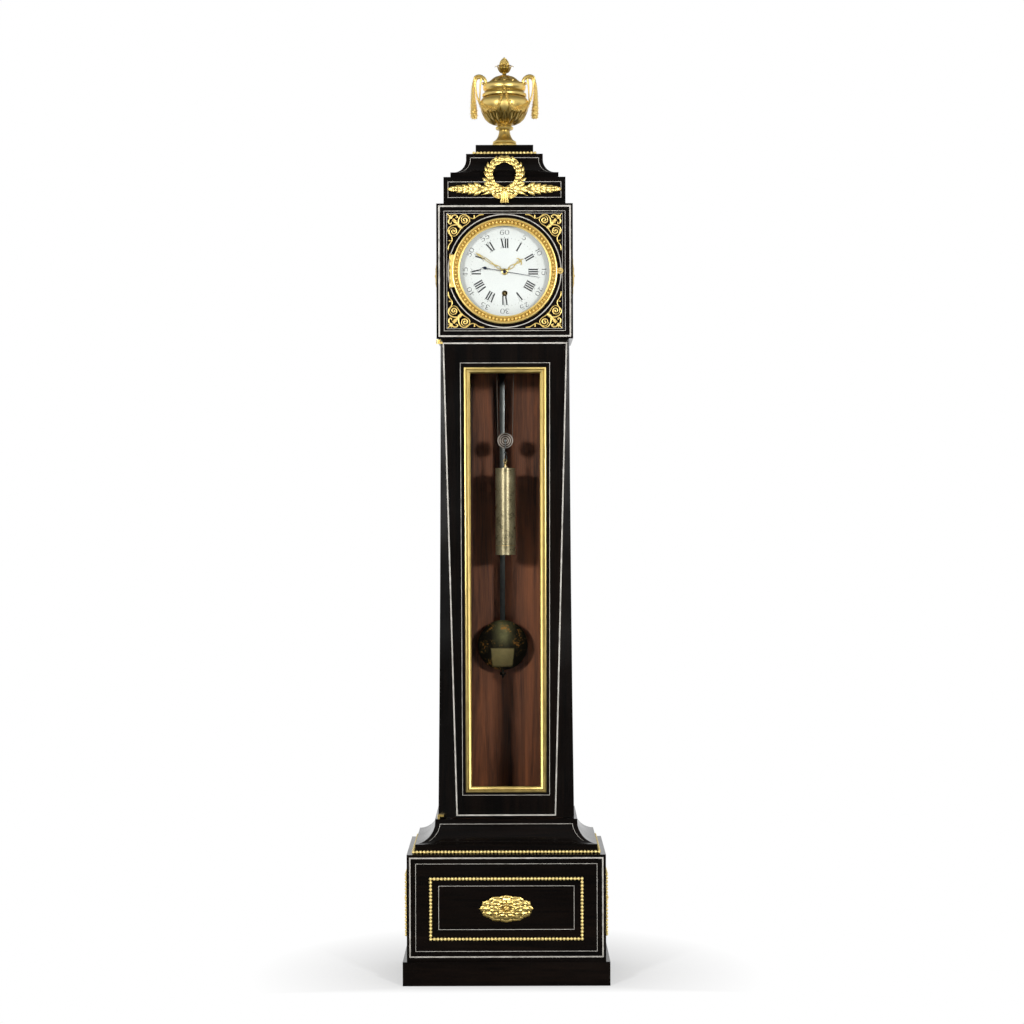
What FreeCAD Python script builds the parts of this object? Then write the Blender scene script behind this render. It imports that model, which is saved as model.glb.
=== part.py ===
import FreeCAD, Part
import math
import os
import Sketcher

# A tall weight-driven regulator in an ebonised case with gilt mounts.
# Z is up from the floor, Y runs from the front to the wall, X to the right.
# The origin is on the floor under the middle of the plinth.

Vector = FreeCAD.Vector
doc = FreeCAD.newDocument("LongcaseClock")
sheet = doc.addObject("Spreadsheet::Sheet", "Sizes")

plinth_sizes = {
    "plinth_width": 493.0,
    "plinth_depth": 310.0,
    "plinth_height": 57.0,
}
base_sizes = {
    "base_setback": 9.5,
    "base_height": 253.0,
    "fillet_setback": 19.6,
    "fillet_height": 22.0,
    "base_cavetto_radius": 46.2,
    "base_lip_height": 7.8,
    "bead_size": 7.0,
    "bead_strip_gap": 0.6,
    "bead_frame_height": 150.0,
    "bead_frame_drop": 1.6,
    "side_frame_width": 200.0,
    "rosette_width": 131.0,
    "rosette_height": 66.0,
    "rosette_leaf_depth": 5.0,
    "rosette_boss_radius": 7.5,
    "rosette_boss_depth": 7.5,
    "rosette_valley_depth": 5.5,
    "side_rosette_width": 96.0,
}
trunk_sizes = {
    "trunk_ledge": 7.3,
    "trunk_height": 1156.0,
    "trunk_taper": 8.7,
    "trunk_hollow": 1.6,
    "trunk_side_thickness": 18.2,
    "backboard_thickness": 12.0,
    "top_rail_height": 22.0,
    "top_rail_depth": 26.0,
    "top_rail_setback": 3.0,
}
door_sizes = {
    "door_thickness": 22.0,
    "door_gap": 1.5,
    "seam_gap": 0.3,
    "facet_depth": 12.0,
    "window_sill_height": 77.4,
    "window_rail_height": 82.6,
    "window_frame_width": 14.3,
    "window_reed_width": 5.0,
    "window_reed_depth": 2.2,
    "glass_thickness": 3.0,
    "glass_rebate": 6.0,
    "glass_setback": 8.0,
    "door_axis_inset": 1.6,
    "door_axis_forward": 2.8,
    "knuckle_radius": 3.0,
    "knuckle_height": 5.0,
    "hinge_strap_width": 2.5,
    "hinge_strap_length": 46.0,
    "hinge_leaf_length": 12.0,
    "hinge_pin_radius": 1.2,
}
hood_sizes = {
    "hood_overhang": 9.2,
    "hood_height": 325.6,
    "hood_side_thickness": 18.0,
    "hood_top_thickness": 18.0,
    "hood_clearance": 0.8,
    "dial_opening_inset": 5.5,
    "upper_setback": 17.1,
    "upper_height": 66.2,
    "cap_setback": 16.4,
    "cap_fillet_height": 13.6,
    "cap_cavetto_radius": 37.3,
    "cap_lip_height": 13.5,
    "top_setback": 23.1,
    "top_block_height": 25.6,
    "spandrel_thickness": 2.5,
    "spandrel_eye_radius": 7.0,
    "side_mount_height": 117.0,
    "side_mount_width": 70.0,
    "side_mount_thickness": 2.5,
    "side_mount_boss_radius": 9.0,
    "side_mount_boss_depth": 8.0,
}
wreath_sizes = {
    "wreath_inner_radius": 26.0,
    "wreath_outer_radius": 46.0,
    "wreath_depth": 10.0,
    "wreath_rise": 4.2,
    "branch_drop": 32.5,
    "branch_height": 26.0,
    "branch_depth": 8.0,
    "ribbon_width": 80.0,
    "ribbon_height": 24.0,
    "ribbon_tail_height": 36.0,
    "ribbon_tail_width": 19.0,
}
urn_sizes = {
    "socle_radius": 33.0,
    "socle_height": 12.2,
    "foot_torus_height": 9.0,
    "foot_step_radius": 25.5,
    "foot_neck_radius": 13.3,
    "foot_neck_height": 25.0,
    "foot_collar_radius": 22.1,
    "foot_collar_height": 9.8,
    "bowl_seat_radius": 18.6,
    "bowl_seat_height": 5.2,
    "bowl_radius": 60.5,
    "bowl_belly_height": 58.0,
    "bowl_shoulder_height": 15.0,
    "bowl_ring_height": 7.0,
    "bowl_band_radius": 50.4,
    "bowl_band_height": 23.7,
    "lid_rim_radius": 46.0,
    "lid_rim_height": 3.0,
    "lid_shoulder_radius": 26.0,
    "lid_rise": 13.8,
    "lid_neck_radius": 5.0,
    "lid_neck_rise": 7.7,
    "leaf_cup_radius": 23.6,
    "leaf_cup_height": 17.3,
    "cone_radius": 11.7,
    "cone_height": 24.0,
    "handle_reach": 60.0,
    "handle_crest_height": 181.0,
    "handle_scroll_radius": 8.0,
    "handle_width": 8.0,
    "handle_root_height": 117.0,
    "garland_radius": 7.5,
    "garland_reach": 74.0,
    "garland_top_height": 150.0,
    "garland_length": 70.0,
}
bezel_sizes = {
    "bezel_overlap": 11.4,
    "bezel_inset": 7.6,
    "bezel_flange_depth": 2.6,
    "bezel_depth": 9.4,
    "bezel_rim_width": 6.0,
    "bezel_glass_thickness": 2.0,
    "bezel_hinge_gap": 4.6,
    "bezel_hinge_length": 84.0,
    "bezel_hinge_radius": 2.6,
    "bezel_web_length": 40.0,
    "bezel_leaf_width": 7.0,
    "bezel_leaf_thickness": 1.5,
    "latch_gap": 5.9,
    "latch_radius": 4.8,
    "latch_depth": 7.0,
    "latch_tab_radius": 7.5,
    "latch_stem_radius": 1.5,
}
dial_sizes = {
    "dial_thickness": 2.4,
    "dial_clearance": 1.2,
    "dial_foot_radius": 3.0,
    "dial_foot_circle": 72.0,
    "dial_centre_hole": 5.6,
    "winding_hole_radius": 5.8,
    "winding_drop": 52.0,
}
movement_sizes = {
    "seat_cheek_width": 16.0,
    "seat_drop": 104.8,
    "seat_board_thickness": 22.0,
    "seat_board_depth": 124.0,
    "gut_slot_left": 31.0,
    "gut_slot_right": 14.0,
    "gut_slot_depth": 16.0,
    "front_plate_setback": 41.6,
    "plate_width": 152.0,
    "plate_height": 212.0,
    "plate_thickness": 3.0,
    "plate_spacing": 78.0,
    "pillar_radius": 5.0,
    "pillar_inset": 12.0,
    "arbor_radius": 1.8,
    "running_gap": 0.05,
}
train_sizes = {
    "great_module": 1.2,
    "middle_module": 1.0,
    "third_module": 0.9,
    "motion_module": 1.0,
    "wheel_thickness": 2.2,
    "pinion_length": 8.0,
    "great_wheel_setback": 25.0,
    "middle_wheel_setback": 8.0,
    "third_wheel_setback": 16.5,
    "escape_wheel_setback": 3.0,
    "wheel_rim_width": 3.4,
    "wheel_hub_radius": 5.6,
    "wheel_arm_width": 3.0,
    "middle_arbor_reach": 35.0,
    "escape_tooth_height": 6.0,
    "motion_wheel_gap": 5.0,
    "hour_wheel_gap": 10.0,
    "hour_pipe_radius": 4.6,
    "cannon_pipe_radius": 3.2,
    "motion_stud_radius": 2.0,
}
barrel_sizes = {
    "gut_radius": 1.0,
    "barrel_gut_radius": 24.0,
    "barrel_length": 32.0,
    "barrel_gap": 0.5,
    "barrel_flange_thickness": 2.0,
    "barrel_flange_radius": 27.0,
    "barrel_arbor_radius": 4.0,
    "winding_square": 5.0,
    "winding_square_gap": 2.0,
    "ratchet_radius": 18.0,
    "ratchet_tooth_height": 3.0,
    "click_length": 16.0,
    "click_width": 4.0,
}
weight_sizes = {
    "weight_plane": 30.0,
    "weight_radius": 24.6,
    "weight_height": 212.7,
    "weight_hang": 280.2,
    "weight_cap_height": 5.0,
    "weight_neck_radius": 5.0,
    "pulley_radius": 19.4,
    "pulley_gut_radius": 17.6,
    "pulley_width": 9.0,
    "pulley_drop": 405.0,
    "axle_radius": 2.2,
    "stirrup_gap": 0.5,
    "stirrup_thickness": 2.0,
    "stirrup_width": 11.0,
    "stirrup_drop": 27.0,
    "stirrup_bar_height": 6.0,
    "stirrup_stem_radius": 3.0,
}
pendulum_sizes = {
    "pendulum_offset": 8.0,
    "pendulum_plane": 109.0,
    "suspension_height": 88.5,
    "suspension_pin_radius": 3.0,
    "suspension_ear_gap": 17.0,
    "suspension_ear_thickness": 3.0,
    "suspension_ear_width": 16.0,
    "suspension_ear_drop": 6.0,
    "suspension_slab_height": 8.0,
    "suspension_foot_height": 34.0,
    "suspension_foot_width": 44.0,
    "suspension_foot_thickness": 8.0,
    "spring_thickness": 0.4,
    "spring_width": 10.0,
    "spring_length": 28.0,
    "spring_chop_height": 10.0,
    "spring_chop_width": 12.4,
    "rod_width": 12.4,
    "rod_thickness": 3.0,
    "bob_drop": 1000.0,
    "bob_radius": 62.0,
    "bob_thickness": 26.0,
    "bob_rim_thickness": 4.0,
    "bob_slot_gap": 0.2,
    "nut_radius": 8.0,
    "nut_height": 6.0,
    "rod_end_length": 14.0,
}
escapement_sizes = {
    "pallet_clearance": 2.9,
    "pallet_length": 10.0,
    "pallet_width": 3.2,
    "pallet_arm_width": 6.0,
    "anchor_thickness": 4.0,
    "anchor_hub_radius": 7.0,
    "crutch_setback": 10.0,
    "crutch_thickness": 3.0,
    "crutch_width": 5.0,
    "crutch_drop": 103.0,
    "fork_gap": 0.4,
    "fork_tine_width": 3.0,
    "fork_tine_length": 13.0,
    "fork_bar_thickness": 4.0,
}
hand_sizes = {
    "hand_thickness": 0.8,
    "hand_spacing": 3.2,
    "hand_boss_radius": 8.0,
    "hand_width": 4.4,
    "hand_lozenge_width": 15.0,
    "second_hand_width": 1.4,
    "second_boss_radius": 5.0,
    "hand_collet_height": 1.2,
}
cutting_sizes = {
    "overrun": 2.0,
}
all_sizes = {
    **plinth_sizes, **base_sizes, **trunk_sizes, **door_sizes, **hood_sizes,
    **wreath_sizes, **urn_sizes, **bezel_sizes, **dial_sizes, **movement_sizes,
    **train_sizes, **barrel_sizes, **weight_sizes, **pendulum_sizes,
    **escapement_sizes, **hand_sizes, **cutting_sizes,
}
for row, (alias, number) in enumerate(all_sizes.items(), start=1):
    sheet.set(f"A{row}", alias)
    sheet.set(f"B{row}", str(number))
    sheet.setAlias(f"B{row}", alias)
doc.recompute()

# Shares of the piece that carries them, which stay when that piece is drawn larger or smaller.
width_shares = {
    "bead_frame_share": 0.7743,
    "field_foot_share": 0.7413,
    "field_head_share": 0.9762,
    "window_foot_share": 0.5027,
    "window_head_share": 0.5451,
    "dial_share": 0.7056,
    "spandrel_corner_share": 0.8753,
    "spandrel_leg_share": 0.5353,
    "spandrel_circle_share": 0.8485,
    "branch_share": 0.9437,
    "top_block_share": 0.7532,
}
hand_length_shares = {
    "hour_share": 0.4828,
    "minute_share": 0.7414,
    "second_share": 0.7414,
    "second_tail_share": 0.431,
}

# Counts and angles, which stay when the clock is drawn larger or smaller.
rosette_leaf_count = 12
great_teeth = 72
middle_teeth = 48
third_teeth = 45
pinion_leaves = 6
escape_teeth = 30
cannon_teeth = 10
motion_teeth = 30
motion_pinion_teeth = 8
hour_teeth = 32
ratchet_teeth = 12
wheel_arms = 6
pallet_angle = 63.0
dial_foot_angles = (0.0, 120.0, 240.0)
gut_sides = 6
bob_ring_shares = (1.0, 0.6, 0.0)
hour_hand_angle = 55.0
minute_hand_angle = 303.0
second_hand_angle = 99.9


class Size:
    """A length known both as a number and as a formula on the sheet."""

    def __init__(self, number, formula):
        self.number = number
        self.formula = formula

    def join(self, sign, other, number):
        formula = other.formula if isinstance(other, Size) else repr(other)
        return Size(number, f"({self.formula} {sign} {formula})")

    def __add__(self, other):
        return self.join("+", other, self.number + other.number)

    def __sub__(self, other):
        return self.join("-", other, self.number - other.number)

    def __mul__(self, factor):
        return self.join("*", factor, self.number * factor)

    __rmul__ = __mul__

    def __truediv__(self, divisor):
        return self.join("/", divisor, self.number / divisor)

    def __neg__(self):
        return Size(-self.number, f"(-1 * {self.formula})")

    def __float__(self):
        return float(self.number)


class SizeBook:
    """Looks a size up on the sheet by its alias."""

    def __getattr__(self, alias):
        return Size(float(sheet.get(alias)), f"Sizes.{alias}")


dim = SizeBook()
zero = Size(0.0, "0")


def point(across, back, up):
    return Vector(float(across), float(back), float(up))


def block(label, low, high):
    """A rectangular board between two corners, bound to the sheet."""
    board = doc.addObject("Part::Box", label)
    for name, start, end in zip(("Length", "Width", "Height"), low, high):
        board.setExpression(name, (end - start).formula)
    for axis, start in zip("xyz", low):
        board.setExpression(f"Placement.Base.{axis}", start.formula)
    return board


def solid_block(low, high):
    """The same kind of board as a bare shape, for use inside a sub-part."""
    size = [float(end) - float(start) for start, end in zip(low, high)]
    return Part.makeBox(*size, point(*low))


def rod_along_y(centre, radius, front, back):
    start = point(centre[0], front, centre[1])
    return Part.makeCylinder(float(radius), float(back - front), start, Vector(0, 1, 0))


def rod_along_z(centre, radius, low, high):
    return Part.makeCylinder(float(radius), float(high - low), point(*centre, low))


def shaped(label, shape):
    """A sub-part whose form is worked out in code from the sheet."""
    feature = doc.addObject("Part::Feature", label)
    feature.Shape = shape
    return feature


def start_body(label):
    body = doc.addObject("PartDesign::Body", label)
    body.Label = label
    return body


def bend(start, end, radius, side):
    """An arc of under half a turn; side 1 bulges to the right of the way from start to end."""
    chord = end - start
    middle = (start + end) / 2
    across = Vector(chord.y, -chord.x, 0).normalize()
    rise = float(radius) - math.sqrt(max(float(radius) ** 2 - chord.Length ** 2 / 4, 0.0))
    return Part.Arc(start, middle + across * rise * side, end)


def outline(body, plane, corners, offset=zero):
    """A closed sketch; each corner is (across, up) with an optional (radius, side) of the arc that follows."""
    sketch = body.newObject("Sketcher::SketchObject", f"{body.Name}_outline")
    planes = {feature.Role: feature for feature in body.Origin.OriginFeatures}
    sketch.AttachmentSupport = [(planes[plane], "")]
    sketch.MapMode = "FlatFace"
    sketch.setExpression("AttachmentOffset.Base.z", offset.formula)
    places = [Vector(float(corner[0]), float(corner[1]), 0) for corner in corners]
    ends = []
    for index, corner in enumerate(corners):
        start = places[index]
        end = places[(index + 1) % len(places)]
        if len(corner) > 2:
            line = sketch.addGeometry(bend(start, end, corner[2], corner[3]), False)
            radius = sketch.addConstraint(Sketcher.Constraint("Radius", line, float(corner[2])))
            sketch.setExpression(f"Constraints[{radius}]", corner[2].formula)
        else:
            line = sketch.addGeometry(Part.LineSegment(start, end), False)
        first = 1 if (sketch.getPoint(line, 1) - start).Length <= (sketch.getPoint(line, 2) - start).Length else 2
        ends.append((line, first, 3 - first))
    for index, (line, first, last) in enumerate(ends):
        follower, follower_first, _ = ends[(index + 1) % len(ends)]
        sketch.addConstraint(Sketcher.Constraint("Coincident", line, last, follower, follower_first))
        for kind, place in zip(("DistanceX", "DistanceY"), corners[index][:2]):
            number = sketch.addConstraint(Sketcher.Constraint(kind, line, first, float(place)))
            sketch.setExpression(f"Constraints[{number}]", place.formula)
    return sketch


def padded(label, plane, corners, low, high):
    """A board of any outline; low and high are measured along the plane's own normal."""
    body = start_body(label)
    pad = body.newObject("PartDesign::Pad", f"{label}_pad")
    pad.Profile = outline(body, plane, corners, low)
    pad.setExpression("Length", (high - low).formula)
    return body


def cut_along(body, plane, corners, low, high):
    """Cuts a prism out of a body, between two places on the plane's normal."""
    before = body.Shape.Volume
    pocket = body.newObject("PartDesign::Pocket", f"{body.Name}_cut")
    pocket.Profile = outline(body, plane, corners, high)
    pocket.setExpression("Length", (high - low).formula)
    doc.recompute()
    if body.Shape.Volume >= before:
        raise RuntimeError(f"the cut in {body.Label} removes nothing")
    return pocket


def quarter(start, end, steps, full_first=False):
    """Corners of a quarter oval between two (radius, along) corners, by chords; the end is left out."""
    corners = []
    for step in range(steps):
        turn = math.pi / 2 * step / steps
        radius_share, along_share = (1 - math.cos(turn), math.sin(turn)) if full_first \
            else (math.sin(turn), 1 - math.cos(turn))
        corners.append((start[0] + (end[0] - start[0]) * radius_share,
                        start[1] + (end[1] - start[1]) * along_share))
    return corners


def turned(label, axis, corners, place):
    """A turned piece: corners are (radius, along) on the lathe axis, Y or Z."""
    body = start_body(label)
    spin = body.newObject("PartDesign::Revolution", f"{label}_turning")
    sketch = outline(body, "XY_Plane" if axis == "Y" else "XZ_Plane", corners)
    spin.Profile = sketch
    spin.ReferenceAxis = (sketch, ["V_Axis"])
    spin.Angle = 360
    for name, value in zip("xyz", place):
        body.setExpression(f"Placement.Base.{name}", value.formula)
    return body


def turned_shape(axis, corners, place):
    """A turned form as a bare shape, for pieces that are joined to others."""
    if axis == "Y":
        places = [Vector(float(r), float(along), 0) for r, along in corners]
        direction = Vector(0, 1, 0)
    else:
        places = [Vector(float(r), 0, float(along)) for r, along in corners]
        direction = Vector(0, 0, 1)
    wire = Part.makePolygon(places + places[:1])
    solid = Part.Face(wire).revolve(Vector(0, 0, 0), direction, 360)
    solid.translate(point(*place))
    return solid


def front_face(corners, depth):
    """A flat face facing the front, at one depth, from (across, up) corners."""
    places = [point(across, depth, up) for across, up in corners]
    return Part.Face(Part.makePolygon(places + places[:1]))


def front_prism(corners, front, back):
    return front_face(corners, front).extrude(Vector(0, float(back) - float(front), 0))


# Levels, half widths and front planes, from the floor up.
back_plane = dim.plinth_depth / 2
plinth_half = dim.plinth_width / 2
plinth_front = -back_plane
plinth_top = dim.plinth_height
base_half = plinth_half - dim.base_setback
base_front = plinth_front + dim.base_setback
base_top = plinth_top + dim.base_height
fillet_half = base_half - dim.fillet_setback
fillet_front = base_front + dim.fillet_setback
fillet_top = base_top + dim.fillet_height
lip_half = fillet_half - dim.base_cavetto_radius
lip_front = fillet_front + dim.base_cavetto_radius
cavetto_top = fillet_top + dim.base_cavetto_radius
trunk_base = cavetto_top + dim.base_lip_height
trunk_foot_half = lip_half - dim.trunk_ledge
trunk_head_half = trunk_foot_half - dim.trunk_taper
trunk_inner_half = trunk_head_half - dim.trunk_side_thickness
trunk_front = lip_front + dim.trunk_ledge
trunk_top = trunk_base + dim.trunk_height
hood_half = trunk_head_half + dim.hood_overhang
hood_front = trunk_front - dim.hood_overhang
hood_top = trunk_top + dim.hood_height
upper_half = hood_half - dim.upper_setback
upper_front = hood_front + dim.upper_setback
upper_top = hood_top + dim.upper_height
cap_half = upper_half - dim.cap_setback
cap_front = upper_front + dim.cap_setback
cap_fillet_top = upper_top + dim.cap_fillet_height
cap_lip_half = cap_half - dim.cap_cavetto_radius
cap_lip_front = cap_front + dim.cap_cavetto_radius
cap_cavetto_top = cap_fillet_top + dim.cap_cavetto_radius
cap_top = cap_cavetto_top + dim.cap_lip_height
top_half = cap_lip_half * width_shares["top_block_share"]
top_front = cap_lip_front + dim.top_setback
case_top = cap_top + dim.top_block_height
dial_height = trunk_top + dim.hood_height / 2
dial_radius = hood_half * width_shares["dial_share"]
bezel_outer = dial_radius + dim.bezel_overlap
bezel_inner = dial_radius - dim.bezel_inset
pulley_height = dial_height - dim.pulley_drop


def cavetto_block(label, half, front, low, fillet_high, radius, lip_half_width, lip_depth, high):
    """A moulded block, hollowed by a quarter round on the front and both sides."""
    arc_top = fillet_high + radius
    corners = [
        (-half, low),
        (half, low),
        (half, fillet_high, radius, -1),
        (lip_half_width, arc_top),
        (lip_half_width, high),
        (-lip_half_width, high),
        (-lip_half_width, arc_top, radius, -1),
        (-half, fillet_high),
    ]
    body = padded(label, "XZ_Plane", corners, -back_plane, -front)
    doc.recompute()
    scoop = [
        (front - dim.overrun, high + dim.overrun),
        (front - dim.overrun, fillet_high),
        (front, fillet_high, radius, 1),
        (lip_depth, arc_top),
        (lip_depth, high + dim.overrun),
    ]
    cut_along(body, "YZ_Plane", scoop, -half - dim.overrun, half + dim.overrun)
    return body


def build_plinth_and_base():
    block("plinth", (-plinth_half, plinth_front, zero), (plinth_half, back_plane, plinth_top))
    block("base_block", (-base_half, base_front, plinth_top), (base_half, back_plane, base_top))
    cavetto_block("base_moulding", fillet_half, fillet_front, base_top, fillet_top,
                  dim.base_cavetto_radius, lip_half, lip_front, trunk_base)


def strip_around(half, front, low, size):
    """A strip on a ledge, along the front and back along both sides."""
    top = low + size
    outer = half + size
    pieces = [solid_block((-outer, front - size, low), (outer, front, top))]
    for left, right in ((-outer, -half), (half, outer)):
        pieces.append(solid_block((left, front, low), (right, back_plane, top)))
    return pieces[0].fuse(pieces[1:]).removeSplitter()


def bead_frame(width, height, size, depth):
    """A rectangular frame of beading, flat on its back, facing the front."""
    outer = front_prism([(-width, -height), (width, -height), (width, height), (-width, height)], -depth, zero)
    inner_width = width - size
    inner_height = height - size
    inner = front_prism([(-inner_width, -inner_height), (inner_width, -inner_height),
                         (inner_width, inner_height), (-inner_width, inner_height)],
                        -depth - dim.overrun, dim.overrun)
    return outer.cut(inner)


def rosette(width, height):
    """An oval leaf rosette with a ring of blunt leaves and a boss, flat on its back."""
    leaf_front = -dim.rosette_leaf_depth
    rim = []
    for leaf in range(rosette_leaf_count):
        for turn_share, inset_share in ((0.0, 1.0), (0.3, 0.1), (0.7, 0.1)):
            turn = 2 * math.pi * (leaf + turn_share) / rosette_leaf_count
            inset = dim.rosette_valley_depth * inset_share
            rim.append(((width / 2 - inset) * math.cos(turn), (height / 2 - inset) * math.sin(turn)))
    leaves = front_prism(rim, leaf_front, zero)
    boss_front = leaf_front - dim.rosette_boss_depth
    boss = rod_along_y((zero, zero), dim.rosette_boss_radius, boss_front, leaf_front)
    return leaves.fuse(boss).removeSplitter()


def on_sides(shape, half, depth, height):
    """Copies a front-facing mount onto both sides of the case."""
    copies = []
    for side in (-1, 1):
        copy = shape.copy()
        copy.rotate(Vector(0, 0, 0), Vector(0, 0, 1), 90 * side)
        copy.translate(Vector(side * float(half), float(depth), float(height)))
        copies.append(copy)
    return copies


def build_base_mounts():
    middle = (plinth_top + base_top) / 2 - dim.bead_frame_drop
    side_depth = (base_front + back_plane) / 2
    shaped("base_bead_strip", strip_around(fillet_half + dim.bead_strip_gap,
                                           fillet_front - dim.bead_strip_gap, base_top, dim.bead_size))
    front_frame = bead_frame(base_half * width_shares["bead_frame_share"], dim.bead_frame_height / 2, dim.bead_size, dim.bead_size)
    side_frame = bead_frame(dim.side_frame_width / 2, dim.bead_frame_height / 2, dim.bead_size, dim.bead_size)
    placed = front_frame.copy()
    placed.translate(point(zero, base_front, middle))
    shaped("bead_frames", Part.makeCompound([placed] + on_sides(side_frame, base_half, side_depth, middle)))
    front_rosette = rosette(dim.rosette_width, dim.rosette_height)
    side_rosette = rosette(dim.side_rosette_width, dim.rosette_height)
    front_rosette.translate(point(zero, base_front, middle))
    shaped("base_rosettes", Part.makeCompound(
        [front_rosette] + on_sides(side_rosette, base_half, side_depth, middle)))


def trunk_edge(inset):
    """The right-hand edge of the trunk seen from the front, hollowed a little, moved in by inset."""
    foot = point(trunk_foot_half - inset, zero, trunk_base)
    head = point(trunk_head_half - inset, zero, trunk_top)
    middle = (foot + head) / 2 - Vector(float(dim.trunk_hollow), 0, 0)
    return foot, middle, head


def trunk_half_at(height):
    """Half the trunk's width at a height."""
    foot, middle, head = trunk_edge(zero)
    share = (float(height) - foot.z) / (head.z - foot.z)
    bow = 4 * share * (1 - share) * float(dim.trunk_hollow)
    return foot.x + (head.x - foot.x) * share - bow


def mirrored(shape):
    return shape.mirror(Vector(0, 0, 0), Vector(1, 0, 0))


def build_trunk():
    side_front = trunk_front + dim.door_thickness + dim.seam_gap
    inner = trunk_inner_half
    foot, middle, head = trunk_edge(zero)
    inner_foot = point(inner, zero, trunk_base)
    inner_head = point(inner, zero, trunk_top)
    wire = Part.Wire([
        Part.LineSegment(inner_foot, foot).toShape(),
        Part.Arc(foot, middle, head).toShape(),
        Part.LineSegment(head, inner_head).toShape(),
        Part.LineSegment(inner_head, inner_foot).toShape(),
    ])
    side = Part.Face(wire).extrude(Vector(0, float(back_plane - side_front), 0))
    side.translate(Vector(0, float(side_front), 0))
    shaped("trunk_sides", Part.makeCompound([side, mirrored(side)]))

    hood_inner = hood_half - dim.hood_side_thickness - dim.hood_clearance
    board_top = hood_top - dim.hood_top_thickness - dim.hood_clearance
    corners = [
        (-inner, trunk_base), (inner, trunk_base), (inner, trunk_top), (hood_inner, trunk_top),
        (hood_inner, board_top), (-hood_inner, board_top), (-hood_inner, trunk_top), (-inner, trunk_top),
    ]
    padded("backboard", "XZ_Plane", corners, -back_plane, dim.backboard_thickness - back_plane)
    rail_front = side_front + dim.top_rail_setback
    block("trunk_top_rail", (-inner, rail_front, trunk_top - dim.top_rail_height),
          (inner, rail_front + dim.top_rail_depth, trunk_top))


door_low = trunk_base + dim.door_gap
door_high = trunk_top - dim.door_gap
door_back = trunk_front + dim.door_thickness
window_low = trunk_base + dim.window_sill_height
window_high = trunk_top - dim.window_rail_height
window_foot_half = trunk_foot_half * width_shares["window_foot_share"]
window_head_half = trunk_head_half * width_shares["window_head_share"]
field_foot_half = trunk_foot_half * width_shares["field_foot_share"]
field_head_half = trunk_head_half * width_shares["field_head_share"]
hinge_x = -(trunk_foot_half - dim.door_axis_inset)
hinge_y = trunk_front - dim.door_axis_forward


def window_panel(margin, front, back):
    """The window's tapering outline, grown by margin on every edge, between two depths."""
    corners = [
        (-window_foot_half - margin, window_low - margin), (window_foot_half + margin, window_low - margin),
        (window_head_half + margin, window_high + margin), (-window_head_half - margin, window_high + margin),
    ]
    return front_prism(corners, front, back)


def corner_facet():
    """The wedge that cants the right front corner, wider and deeper towards the foot."""
    sections = []
    slope = float(dim.facet_depth) / float(trunk_foot_half - field_foot_half)
    reach = float(trunk_foot_half - field_foot_half + dim.overrun)
    front = float(trunk_front)
    rise = float(door_high - door_low)
    lean = float(field_head_half - field_foot_half) / rise
    for height in (door_low - dim.overrun, door_high + dim.overrun):
        edge = float(field_foot_half) + lean * float(height - door_low)
        places = [Vector(edge, front, float(height)),
                  Vector(edge + reach, front + reach * slope, float(height)),
                  Vector(edge + reach, front - float(dim.overrun), float(height))]
        sections.append(Part.makePolygon(places + places[:1]))
    return Part.makeLoft(sections, True, True)


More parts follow.
